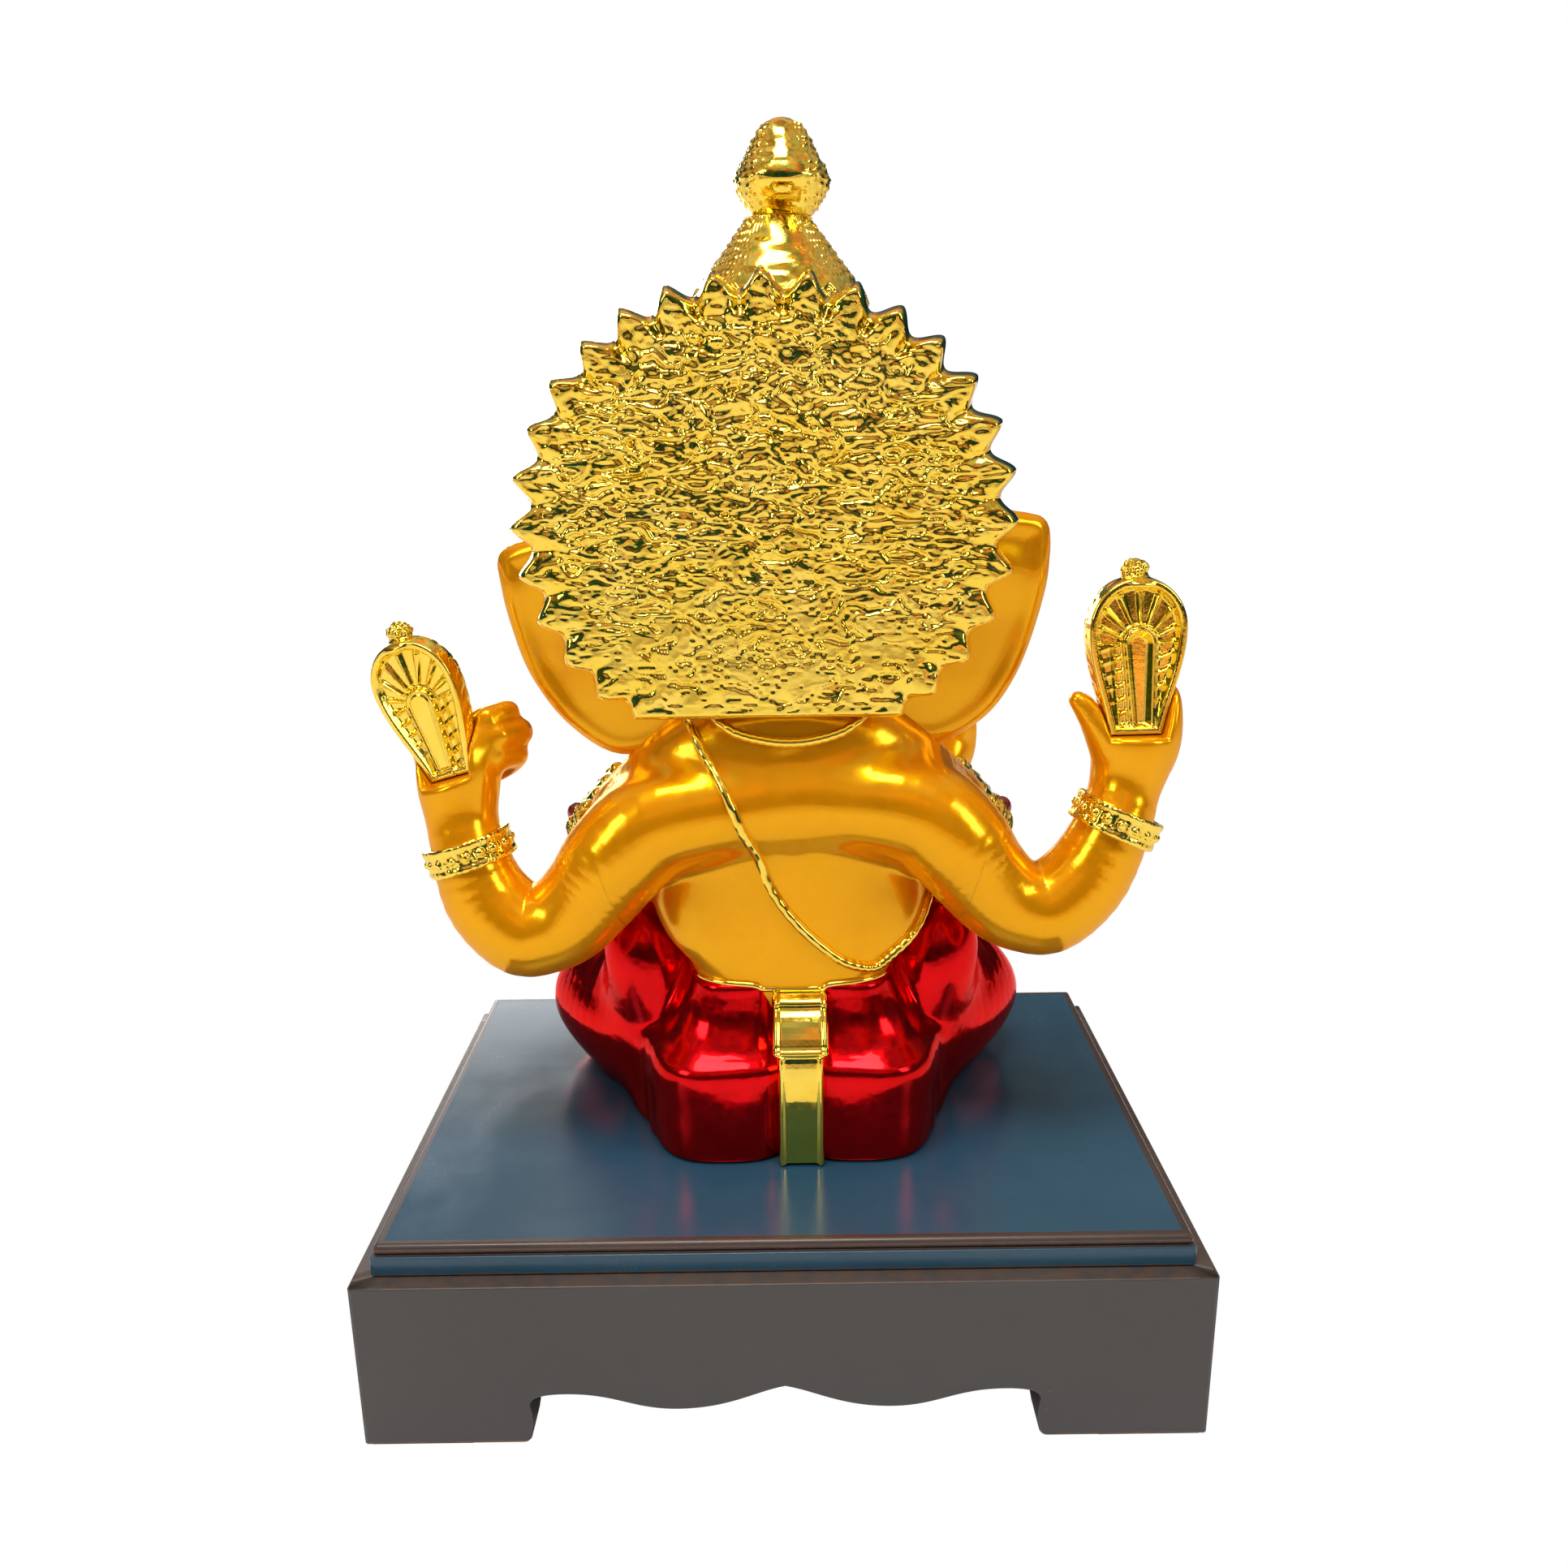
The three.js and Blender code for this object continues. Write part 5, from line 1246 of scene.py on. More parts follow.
def build_emblems():
    for side, s in (("left", 1), ("right", -1)):
        foot = np.array(EMBLEM[side][0], float)
        lo, hi = (foot + (-10, -16, -4), foot + (38, 12, 50)) if s > 0 else (foot + (-15, -13, -3), foot + (15, 4, 46))
        sculpted(side + "_emblem", emblem_field(side), lo, hi, 0.32, GOLD, "gold_plating", rounds=2)


# ---- the crown plate ----------------------------------------------------------------------------------
PLATE = {"x": 5, "front": 24, "back": 31, "z": 159.5, "rx": 56.6, "rz": 53.6, "flat": 44, "petals": 32, "scallop": 4.4}


def disc_grid(n):
    """A square grid laid over the unit disc: radius and angle of each point."""
    a = np.linspace(-1, 1, n)
    A, B = np.meshgrid(a, a, indexing="ij")
    big = np.abs(A) > np.abs(B)
    with np.errstate(divide="ignore", invalid="ignore"):
        theta = np.where(big, (math.pi / 4) * (B / np.where(A == 0, 1, A)), math.pi / 2 - (math.pi / 4) * (A / np.where(B == 0, 1, B)))
    r = np.where(big, A, B)
    return np.abs(r), np.where(r < 0, theta + math.pi, theta)


def plate_outline(theta):
    """The plate's radius at each angle: 32 pointed petals, cut off level below."""
    step_angle = 2 * math.pi / PLATE["petals"]
    u = np.abs(np.mod(theta / step_angle + 0.5, 1.0) - 0.5) * 2
    jitter = 0.5 * np.sin(theta * 7.3 + 1.1) + 0.35 * np.sin(theta * 13.7)
    low = 1 - 0.3 * step(0.1, 0.6, -np.sin(theta))
    dent = (PLATE["scallop"] + 0.5 * jitter) * low * (0.5 - 0.5 * np.cos(math.pi * u)) ** 0.85
    rx, rz = PLATE["rx"] - dent + 0.3 * jitter, PLATE["rz"] - dent + 0.3 * jitter
    full = 1 / np.sqrt((np.cos(theta) / rx) ** 2 + (np.sin(theta) / rz) ** 2)
    down = np.maximum(-np.sin(theta), 1e-6)
    return np.minimum(full, np.where(np.sin(theta) < 0, PLATE["flat"] / down, 1e9)), u


def crinkle(x, z):
    """The plate's back as cast: ridges and pits that run level, closer together towards the top."""
    P = np.stack([x / 2.9, z / 1.4, np.zeros_like(x)], 1)
    warp = np.stack([1.3 * noise(P * 0.6 + 11, 1), 1.9 * noise(P * 0.6 + 37, 2), np.zeros_like(x)], 1)
    a = noise(P + warp, 3)
    b = noise(P * (1.9, 1.75, 1) + 1.3 * warp, 4)
    high = step(-36, 30, z)
    ridge = np.abs(a) ** 0.8
    swell = noise(np.stack([x / 13, z / 7, np.zeros_like(x)], 1), 6)
    pit = step(0.34 - 0.16 * high, 0.52, noise(P * (0.95, 0.9, 1) + 0.9 * warp + 51, 5))
    pock = step(0.45, 0.7, noise(P * (2.2, 1.6, 1) + 91, 8))
    return (0.05 + 0.55 * high) * -ridge + (0.02 + 0.17 * high) * b - (0.62 + 0.05 * high) * pit - 0.24 * pock + (0.1 + 0.14 * high) * swell


def build_plate():
    n = 300
    rho, theta = disc_grid(n)
    R, u = plate_outline(theta)
    smooth_R = 1 / np.sqrt((np.cos(theta) / (PLATE["rx"] - 4.6)) ** 2 + (np.sin(theta) / (PLATE["rz"] - 4.6)) ** 2)
    smooth_R = np.minimum(smooth_R, np.where(np.sin(theta) < 0, PLATE["flat"] / np.maximum(-np.sin(theta), 1e-6), 1e9))
    blend = rho ** 10

    def disc(scale, inset):
        r = rho * ((1 - blend) * smooth_R + blend * (R * scale - inset))
        return r * np.cos(theta), r * np.sin(theta), r

    x, z, r = disc(1.0, 0.9)
    to_edge = np.maximum(R - r, 0)
    flatten = step(0.4, 3.0, to_edge)
    body = crinkle(x.ravel(), z.ravel()).reshape(x.shape) * (0.45 + 0.55 * step(3, 9, to_edge))
    # each petal is a shallow cup behind, with a creased valley between neighbours
    outer = step(9, 1.5, to_edge) * (z > -PLATE["flat"] + 3)
    high = step(-10, 46, z)
    cup = outer * (0.45 + 0.55 * high) * (-1.7 * np.exp(-((1 - u) / 0.34) ** 2) * step(7, 2, to_edge) + 0.5 * (1 - u))
    y_back = PLATE["back"] - 0.15 + body * (0.35 + 0.65 * flatten) + cup
    xf, zf, rf = disc(1.035, 0.7)
    edge_f = np.maximum(R * 1.035 - rf, 0)
    ray = step(17, 14, edge_f) * step(0.2, 2.2, edge_f)
    y_front = PLATE["front"] - ray * (2.2 * (1 - u ** 1.4)) - 1.6 * np.exp(-((edge_f - 17.5) / 1.0) ** 2) \
        - 0.8 * np.exp(-((edge_f - 20.5) / 0.7) ** 2) * (0.6 + 0.4 * np.cos(theta * 64))
    # the rim, round from back to front, in order along the disc's border
    border = [(i, 0) for i in range(n - 1)] + [(n - 1, j) for j in range(n - 1)] + [(i, n - 1) for i in range(n - 1, 0, -1)] + [(0, j) for j in range(n - 1, 0, -1)]
    bi, bj = np.array(border).T
    back = np.stack([x, y_back, z], -1)
    front = np.stack([xf, y_front, zf], -1)
    a, b = back[bi, bj], front[bi, bj]
    out = np.stack([np.cos(theta[bi, bj]), np.zeros(len(bi)), np.sin(theta[bi, bj])], 1)
    rings = [a]
    for t, bulge in ((0.05, 0.55), (0.13, 0.8), (0.3, 0.92), (0.5, 1.0), (0.7, 1.0), (0.87, 0.95), (0.95, 0.6)):
        rings.append(a + (b - a) * t + out * bulge)
    rings.append(b)
    V = [back.reshape(-1, 3), front.reshape(-1, 3)] + rings[1:-1]
    V = np.concatenate(V)
    count = n * n
    ids = np.arange(count).reshape(n, n)
    q = np.stack([ids[:-1, :-1], ids[1:, :-1], ids[1:, 1:], ids[:-1, 1:]], -1).reshape(-1, 4)
    m = len(bi)
    levels = [ids[bi, bj]] + [2 * count + k * m + np.arange(m) for k in range(len(rings) - 2)] + [count + ids[bi, bj]]
    walls = []
    for lower, upper in zip(levels[:-1], levels[1:]):
        walls.append(np.stack([lower, np.roll(lower, -1), np.roll(upper, -1), upper], 1))
    Q = np.concatenate([q, (q + count)[:, ::-1]] + walls)
    V = V + (PLATE["x"], 0, PLATE["z"])
    me = new_mesh("crown_plate", V, Q)
    fix_normals(me)
    piece("crown_plate", me, PLATE_GOLD, "gold_plating", "crown_plate")


# ---- the crown ------------------------------------------------------------------------------------------
DOME = [(26.4, 0), (28, 3), (28, 7), (25, 11.4), (26.4, 16), (24.8, 22.6), (23.4, 24.6), (24.8, 30), (22, 37.6), (19, 44.6), (14.8, 50.2),
        (9, 57.8), (7.6, 59.8)]
FINIAL = [(6.8, 0.3), (7.6, 1.2), (9.0, 3.2), (10.4, 5.4), (11.2, 7.6), (10.8, 9.2), (9.7, 11.4), (8.4, 13.4), (7.4, 15.4),
          (6.4, 17.4), (5.1, 19.2), (3.5, 20.5), (1.9, 21.3), (0.05, 21.7)]


def turned(name, profile, at, relief, count, rows, material, slot, *nodes):
    """A body of revolution about an upright axis, its surface moved by relief(angle, height, radius)."""
    S = spline([(r, h, 0) for r, h in profile], rows)[:, :2]
    S[:, 0] = np.maximum(S[:, 0], 0.03)
    theta = np.linspace(0, 2 * math.pi, count, endpoint=False)
    T, K = np.meshgrid(theta, np.arange(rows), indexing="ij")
    r, h = S[K, 0], S[K, 1]
    d = relief(T, h, r)
    tangent = np.gradient(S, axis=0)
    tangent /= np.maximum(np.linalg.norm(tangent, axis=1, keepdims=True), 1e-9)
    nr, nh = tangent[:, 1][K], -tangent[:, 0][K]
    r2, h2 = r + d * nr, h + d * nh
    r2 = np.maximum(r2, 0.02)
    P = np.stack([at[0] + r2 * np.cos(T), at[1] + r2 * np.sin(T), at[2] + h2], -1)
    V, Q, tris = grid_mesh(name, P)
    me = new_mesh(name, V, Q, tris=tris)
    fix_normals(me)
    return piece(name, me, material, slot, *(nodes or (name,)))


def sparkle(T, h, r, pitch, seed):
    """Small pointed bumps, set in loose rows."""
    row = np.floor(h / pitch)
    per = np.maximum(np.round(2 * math.pi * np.maximum(r, 4).mean() / pitch), 6)
    u = T / (2 * math.pi) * per + 0.5 * np.mod(row, 2)
    cu, cv = np.floor(u), row
    jitter = hash3(cu.astype(np.int64), cv.astype(np.int64), np.zeros_like(cu, dtype=np.int64), seed)
    du, dv = (u - cu - 0.5 - 0.3 * jitter), (h / pitch - row - 0.5 + 0.3 * jitter)
    q = np.hypot(du, dv)
    return np.maximum(0, 1 - q * 2.1) ** 1.2 * (0.75 + 0.25 * jitter)


def from_behind(T):
    """1 at the very back of the crown, 0 towards its sides and front."""
    return np.clip((np.sin(T) - 0.74) / 0.2, 0, 1) ** 0.8


def dome_relief(T, h, r):
    back = from_behind(T)
    P = np.stack([np.cos(T) * 3.2, np.sin(T) * 3.2, h / 2.3], -1).reshape(-1, 3)
    ripple = noise(P * (0.75, 0.75, 1.0), 21).reshape(T.shape)
    waves = 0.3 * ripple * back
    bumps = 0.55 * sparkle(T, h, r, 1.9, 4) * (1 - back) * step(44, 47, h)
    # tiers: a beaded seam at each waist, with lozenges on the swellings between
    beads = 0.0
    for level in (11.4, 23.6, 37.6):
        q = np.hypot((np.mod(T * 24 / math.pi, 1) - 0.5) * 2.6, (h - level) / 0.95)
        beads = beads + 0.75 * np.maximum(0, 1 - q ** 2) ** 0.5 * 1.0
    loz = 0.0
    for level, tall, number in ((5, 5.0, 14), (17.4, 5.0, 12), (30.4, 5.6, 12), (42, 3.0, 16)):
        u = (np.mod(T / (2 * math.pi) * number, 1) - 0.5) * 2
        q = np.abs(u) * 1.25 + np.abs(h - level) / tall * 1.05
        loz = loz + 0.8 * step(1.0, 0.72, q) - 0.45 * step(0.62, 0.4, q) + 0.6 * step(0.3, 0.1, q)
    return waves + bumps + (beads + loz * (h < 44)) * (1 - 0.0 * back)


def finial_relief(T, h, r):
    back = from_behind(T)
    P = np.stack([np.cos(T) * 2.0, np.sin(T) * 2.0, h / 1.3], -1).reshape(-1, 3)
    ripple = noise(P, 27).reshape(T.shape)
    fade = step(21.4, 19.5, h)
    return (0.2 * ripple * back + 0.6 * sparkle(T, h, r, 1.75, 9) * (1 - back)) * fade * step(0.4, 2.0, h)


def band_relief(T, h, r):
    u = np.mod(T / (2 * math.pi) * 22, 1) - 0.5
    boss = 0.75 * np.sqrt(np.maximum(0, 1 - (u * 2.5) ** 2 - ((h - 4) / 2.2) ** 2))
    rims = 0.6 * np.exp(-((h - 1.0) / 0.6) ** 2) + 0.6 * np.exp(-((h - 6.9) / 0.6) ** 2)
    return boss + rims


def build_crown():
    crown = (1, -4, 168.4)
    m = 1
    turned("crown_dome", DOME, crown, dome_relief, int(560 * m), int(260 * m), GOLD, "gold_plating")
    turned("crown_band", [(27.2, 0.1), (28.2, 0.8), (28.8, 2.6), (29, 4), (28.8, 5.4), (28.2, 7.2), (27.2, 7.9)], (1, -4, 160.2), band_relief, int(520 * m), int(48 * m), GOLD, "gold_plating")
    turned("crown_finial", FINIAL, (0, -4, 228.4), finial_relief, int(300 * m), int(150 * m), GOLD, "gold_plating")
    leaf = [ellipsoid((1, -33, 171), (10.4, 3.4, 9.4)), ellipsoid((1, -33.4, 181.6), (5.4, 3.0, 9.4))]
    leaf += [ellipsoid((1 + s * 7.4, -33.2, 178.4), (3.4, 2.4, 6.4), (0, s * 24, 0)) for s in (-1, 1)]
    studs = [ellipsoid((1 + 7.4 * math.cos(a), -36 + 0.05 * abs(math.cos(a)) * 8, 171.4 + 7.0 * math.sin(a)), (1.25, 1.1, 1.25)) for a in np.arange(14) * math.pi / 7]
    studs += [ellipsoid((1, -36.4, z), (1.5, 1.2, 1.7)) for z in (181.5, 185.4)]
    setting = ellipsoid((1, -36.2, 172.2), (4.9, 1.7, 5.6))
    crest = lambda P: smin(smin(union(P, leaf, 1.2), union(P, studs, 0.3), 0.5), setting(P), 0.6)
    sculpted("crown_crest", crest, (-12, -40, 160), (14, -27, 193), 0.4, GOLD, "gold_plating")
    sculpted("crown_gem", ellipsoid((1, -37.4, 172.4), (3.4, 2.4, 4.1)), (-4, -41, 167), (6, -33, 178), 0.35, GEM, "red_gem")


# ---- cords, sash, pleat, bowl -----------------------------------------------------------------------------
def lay(field, points, lift, samples, closed=True):
    """A smooth path laid on a surface: sampled between the points, then drawn onto the field."""
    C = closed_spline(points, samples) if closed else spline(points, samples)
    C = project(field, C, 14, 2.5)
    for _ in range(6):
        mid = (np.roll(C, 1, 0) + np.roll(C, -1, 0)) / 2
        if not closed:
            mid[0], mid[-1] = C[0], C[-1]
        C = project(field, C + 0.5 * (mid - C), 3, 1.0)
    N = gradient(field, C)
    N /= np.linalg.norm(N, axis=1, keepdims=True)
    return C + N * lift, N


def build_cords():
    thread = [(21.6, 2, 108), (20.6, 13, 107), (18.6, 22.6, 101), (13.8, 29, 92), (9.4, 31, 82), (5, 27.4, 71), (-1.6, 27, 61.6), (-11, 27, 53),
              (-18, 27, 49.8), (-23.4, 26.6, 48.8), (-28, 24.4, 51), (-33, 18, 57), (-36.4, 10, 64), (-35, -12, 66), (-24, -28, 68), (-10, -36, 74),
              (4, -34, 83), (14, -24, 92), (21, -10, 102)]
    C, N = lay(lambda P: np.minimum(skin(P), dhoti(P)), thread, 0.55, 420)
    s = np.arange(len(C))
    sweep("sacred_thread", C, 1.25 + 0.05 * np.sin(s * 0.9), GOLD, "gold_plating", "sacred_thread", sides=12, normals=N)
    ring = [(18 * math.cos(a), 3 + 17 * math.sin(a), 105.6 + 2.6 * abs(math.cos(a)) ** 2 + 2.2 * max(0, math.sin(a)) ** 2 - 7 * max(0, -math.sin(a)) ** 2 - 0.6 * math.sin(a))
            for a in np.linspace(0, 2 * math.pi, 20, endpoint=False)]
    C, N = lay(skin, ring, 0.8, 300)
    links = 1.05 + 0.16 * np.abs(np.sin(np.arange(len(C)) * math.pi / 5))
    chain = sweep("necklace", C, links, GOLD, "gold_plating", "necklace", sides=10, normals=N)
    low = C[C[:, 1].argmin()]
    pendant = lambda P: smin(smin(ellipsoid((low[0], low[1] - 1.2, low[2] - 6), (5.2, 2.4, 6.6))(P), ellipsoid((low[0], low[1] - 3.2, low[2] - 6.4), (2.6, 1.6, 3.2))(P), 0.6),
                             ellipsoid((low[0], low[1] - 0.8, low[2] - 13), (1.6, 1.5, 2.4))(P), 0.8)
    V, Q, N2 = sculpt(pendant, low + (-7, -6.5, -18), low + (7, 4, 3), 0.45)
    me = new_mesh("necklace_pendant", V, Q, N2)
    ob = piece("necklace_pendant", me, GOLD, "gold_plating", "necklace")
    # the dhoti's piped edge follows the line where cloth meets skin
    belt = []
    for a in np.linspace(0, 2 * math.pi, 44, endpoint=False):
        c, s_ = math.cos(a), math.sin(a)
        belt.append((27 * c, 1 + 27 * s_, 47 + 4 * abs(c) ** 5 - 4 * max(0, -s_) ** 2))
    C = closed_spline(belt, 460)
    for _ in range(14):
        C = project(dhoti, project(skin, C, 1, 1.5), 1, 1.5)
        C += 0.35 * ((np.roll(C, 1, 0) + np.roll(C, -1, 0)) / 2 - C)
    N = gradient(skin, C)
    N /= np.linalg.norm(N, axis=1, keepdims=True)
    sweep("waist_band", C + 0.25 * N, 0.85, GOLD, "gold_plating", "waist_band", sides=10, normals=N)


def build_sash():
    side = np.concatenate([[(27.4, 43.6)], bezier((30.6, 40.4), (34.8, 37), (37.8, 31), (38, 25), 12), bezier((38, 25), (38.4, 15), (37.2, 6), (36.4, 0.4), 10),
                           [(36.4, 0.4), (28, 0.4), (24, 43.6)]])

    def f(P):
        x, y, z = P[:, 0] + 1.9, P[:, 1], P[:, 2]
        flat = polygon_distance(y, z, side)
        buckle = step(30.5, 31.5, z)
        w = 5.8 + 1.25 * buckle
        edge = np.exp(-((np.abs(x) - w + 0.95) / 0.7) ** 2)
        rail = 0.55 * edge + 0.5 * np.exp(-((z - 31.8) / 0.7) ** 2) + 0.75 * np.exp(-((z - 42.4) / 1.1) ** 2)
        curl = 0.5 * np.exp(-((z - 22) / 5) ** 2) * np.cos(x * 0.3)
        bulge = 0.35 * buckle * np.cos(np.clip(x / w, -1, 1) * 1.3)
        return smax(flat - rail - bulge + 0.5 - curl * 0.4, np.abs(x) - w, 1.0)
    sculpted("rear_sash", f, (-11, 22, -1), (8, 41, 46), 0.42, GOLD, "gold_plating")


def build_pleat():
    rows = curve1([(12.6, -36, 10), (14, -36, 10), (24, -38, 9), (34, -37, 7), (43, -31, 5), (45, -30, 4.6)])

    def f(P):
        x, y, z = P.T
        yc, a = rows(z)
        fold = 0.85 * np.sin(x / a * 9.4) * step(44, 36, z)
        d = smax(np.abs(x) - a, np.abs(y - yc - fold) - 3.1, 1.4)
        hem = 0.4 * np.exp(-((z - 15.2) / 0.8) ** 2) + 0.35 * np.exp(-((z - 17.6) / 0.6) ** 2)
        return smax(smax(d - hem, z - 44.5, 1.5), 13 - z, 1.0)
    sculpted("front_pleat", f, (-13, -45, 11), (13, -24, 47), 0.45, GOLD, "gold_plating")


def build_bowl():
    at = (14, -54.5, 58.9)
    profile = [(0.05, 0), (4.6, 0), (5.4, 0.5), (6.8, 1.2), (9.6, 3.3), (11.0, 6.2), (11.3, 7.6), (10.9, 8.3), (10.0, 8.2), (9.3, 7.2), (8.4, 5.0), (4.4, 2.8), (0.05, 2.5)]

    def relief(T, h, r):
        outside = r > 5.2
        flute = 0.22 * np.cos(T * 18) * step(0.8, 2.4, h) * step(7.4, 6.2, h) * outside
        bead = 0.3 * np.maximum(0, np.cos(T * 34)) * np.exp(-((h - 7.7) / 0.6) ** 2)
        return flute + bead
    turned("modak_bowl", profile, at, relief, 360, 120, GOLD, "gold_plating")
    x, y, z = at
    sweets = [(4, 3, 7.8), (-4, 3, 7.8), (0, -4.6, 7.8), (-0.4, 0.6, 12.0)]

    def f(P):
        d = np.full(len(P), 30.0)
        for dx, dy, dz in sweets:
            q = P - (x + dx, y + dy, z + dz)
            r, phi = np.hypot(q[:, 0], q[:, 1]), np.arctan2(q[:, 1], q[:, 0])
            body = np.sqrt((r / 4.5) ** 2 + (q[:, 2] / np.where(q[:, 2] > 0, 5.2, 3.7)) ** 2)
            e = (body - 1) * 4.1
            peak = np.hypot(r, np.maximum(0, np.abs(q[:, 2] - 4.6) - 1.0)) - 0.9
            flutes = 0.3 * np.cos(phi * 11) * step(0.8, 2.6, r) * step(-3, 0, q[:, 2])
            d = smin(d, smin(e + flutes, peak, 1.4), 0.3)
        return d
    sculpted("modaks", f, (x - 10, y - 11, z + 2.9), (x + 10, y + 9.5, z + 19), 0.4, SWEET, "pearl_gold")


# ---- plinth -------------------------------------------------------------------------------------------
def cut_edge(half):
    """The lower edge of an apron, from its left end to its right: feet, fillets, two lobes and a middle point."""
    open_ = half - 40 * (half / 100)
    hump, low, cusp, corner = 14.5, 10, 16, 3
    pad, r = 1.2, 2.0
    pts = [(-half, pad)]
    # rounded toe of the foot, then its inner side: a slight swell and a fillet into the hump
    a = np.linspace(-math.pi / 2, 0, 8)
    pts += [(-open_ - r + r * math.cos(t), pad + r + r * math.sin(t)) for t in a]
    pts += [(-open_ + 0.55 * math.sin(math.pi * k), pad + r + k * (hump - corner - pad - r)) for k in np.linspace(0.1, 1, 8)]
    q = np.linspace(0.08, 1, 12)
    for t in q:
        pts.append(((1 - t) ** 2 * -open_ + 2 * t * (1 - t) * -open_ + t * t * -0.86 * open_, (1 - t) ** 2 * (hump - corner) + 2 * t * (1 - t) * hump + t * t * hump))
    pts += [tuple(p) for p in bezier((-0.86 * open_, hump), (-0.66 * open_, hump), (-0.6 * open_, low), (-0.42 * open_, low), 24)[1:]]
    pts += [tuple(p) for p in bezier((-0.42 * open_, low), (-0.22 * open_, low), (-0.12 * open_, cusp - 1.5), (0, cusp), 24)]
    left = np.array(pts)
    return np.concatenate([left, [(0, cusp)], left[::-1] * (-1, 1)])


def edge_normals(P, closed=True):
    T = np.roll(P, -1, 0) - np.roll(P, 1, 0)
    N = np.stack([T[:, 1], -T[:, 0]], 1)
    return N / np.maximum(np.linalg.norm(N, axis=1, keepdims=True), 1e-9)


def stacked(name, rings, normals, material, slot, node, close=True, face_material=None):
    """A closed body from rings of points (metres), its first and last ring filled flat."""
    count = len(rings[0])
    V = np.concatenate(rings)
    N = np.concatenate(normals)
    me = bpy.data.meshes.new(name)
    faces = []
    for k in range(len(rings) - 1):
        for i in range(count):
            j = (i + 1) % count
            faces.append((k * count + i, k * count + j, (k + 1) * count + j, (k + 1) * count + i))
    faces.append(tuple(range(count))[::-1])
    faces.append(tuple(range((len(rings) - 1) * count, len(rings) * count)))
    me.from_pydata(V.tolist(), [], faces)
    me.update()
    me.validate()
    me.polygons.foreach_set("use_smooth", np.ones(len(me.polygons), bool))
    if len(me.vertices) == len(N):
        me.normals_split_custom_set_from_vertices(N.astype(np.float32))
    ob = piece(name, me, material, slot, node)
    if face_material:
        me.polygons.foreach_set("material_index", np.array([face_material(k // count) if k < (len(rings) - 1) * count else face_material(0 if k == (len(rings) - 1) * count else len(rings) - 2) for k in range(len(me.polygons))], np.int32))
    return ob


def build_aprons():
    width, depth, board, top = 100.0, 72.0, 11.0, 44.0
    for name, half, other, turn in (("apron_back", width, depth, 180), ("apron_front", width, depth, 0), ("apron_left", depth, width, 90), ("apron_right", depth, width, -90)):
        low = cut_edge(half)
        n_top = 24
        upper = np.stack([np.linspace(half, -half, n_top), np.full(n_top, top)], 1)
        P = np.concatenate([low, upper])
        # outward normals in the plane of the board; the end columns face sideways
        N2 = edge_normals(P)
        corners = {0: (-0.7, -0.7), len(low) - 1: (0.7, -0.7), len(low): (0.7, 0.7), len(P) - 1: (-0.7, 0.7)}
        for k, v in corners.items():
            N2[k] = v
        r = 0.55
        corner = 1.3
        rings, norms = [], []
        depths = [(0.0, r, 0.0), (0.07, 0.26 * r + 0.05, 0.6), (0.22, 0.12, 0.9), (0.5, 0.0, 1.0), (0.9, 0.0, 1.0), (board - 0.6, 0.0, 1.0), (board - 0.15, 0.1, 0.8), (board, 0.45, 0.0)]
        for t, inset, side in depths:
            u, z = P[:, 0].copy(), P[:, 1].copy()
            u = u - N2[:, 0] * inset
            z = z - N2[:, 1] * inset
            reach = min(half - t - 0.03, half - corner + math.sqrt(max(corner ** 2 - max(corner - t, 0) ** 2, 0)))
            ends = np.abs(P[:, 0]) > half - 1e-6
            u[ends] = np.sign(P[ends, 0]) * reach
            z[ends] = P[ends, 1] - np.sign(N2[ends, 1]) * inset
            u = np.clip(u, -reach, reach)
            nx, nz = N2[:, 0] * side, N2[:, 1] * side
            ny = np.full(len(P), -math.sqrt(max(1 - side ** 2, 0)) * (1 if t < board / 2 else -1))
            nx = np.where(ends, np.sign(P[:, 0]) * 0.0, nx)
            if t < corner and 0 < t:
                a = math.acos(np.clip((corner - t) / corner, -1, 1))
                nx = np.where(ends, np.sign(P[:, 0]) * math.sin(a), nx)
                ny = np.where(ends, -math.cos(a), ny)
                nz = np.where(ends, 0, nz)
            nn = np.stack([nx, ny, nz], 1)
            nn /= np.maximum(np.linalg.norm(nn, axis=1, keepdims=True), 1e-9)
            rings.append(np.stack([u, np.full(len(u), -other + t), z], 1))
            norms.append(nn)
        R = np.array(Matrix.Rotation(math.radians(turn), 3, "Z"))
        rings = [q @ R.T * MM for q in rings]
        norms = [q @ R.T for q in norms]
        stacked(name, rings[::-1], norms[::-1], APRON, "plinth_lacquer", name)


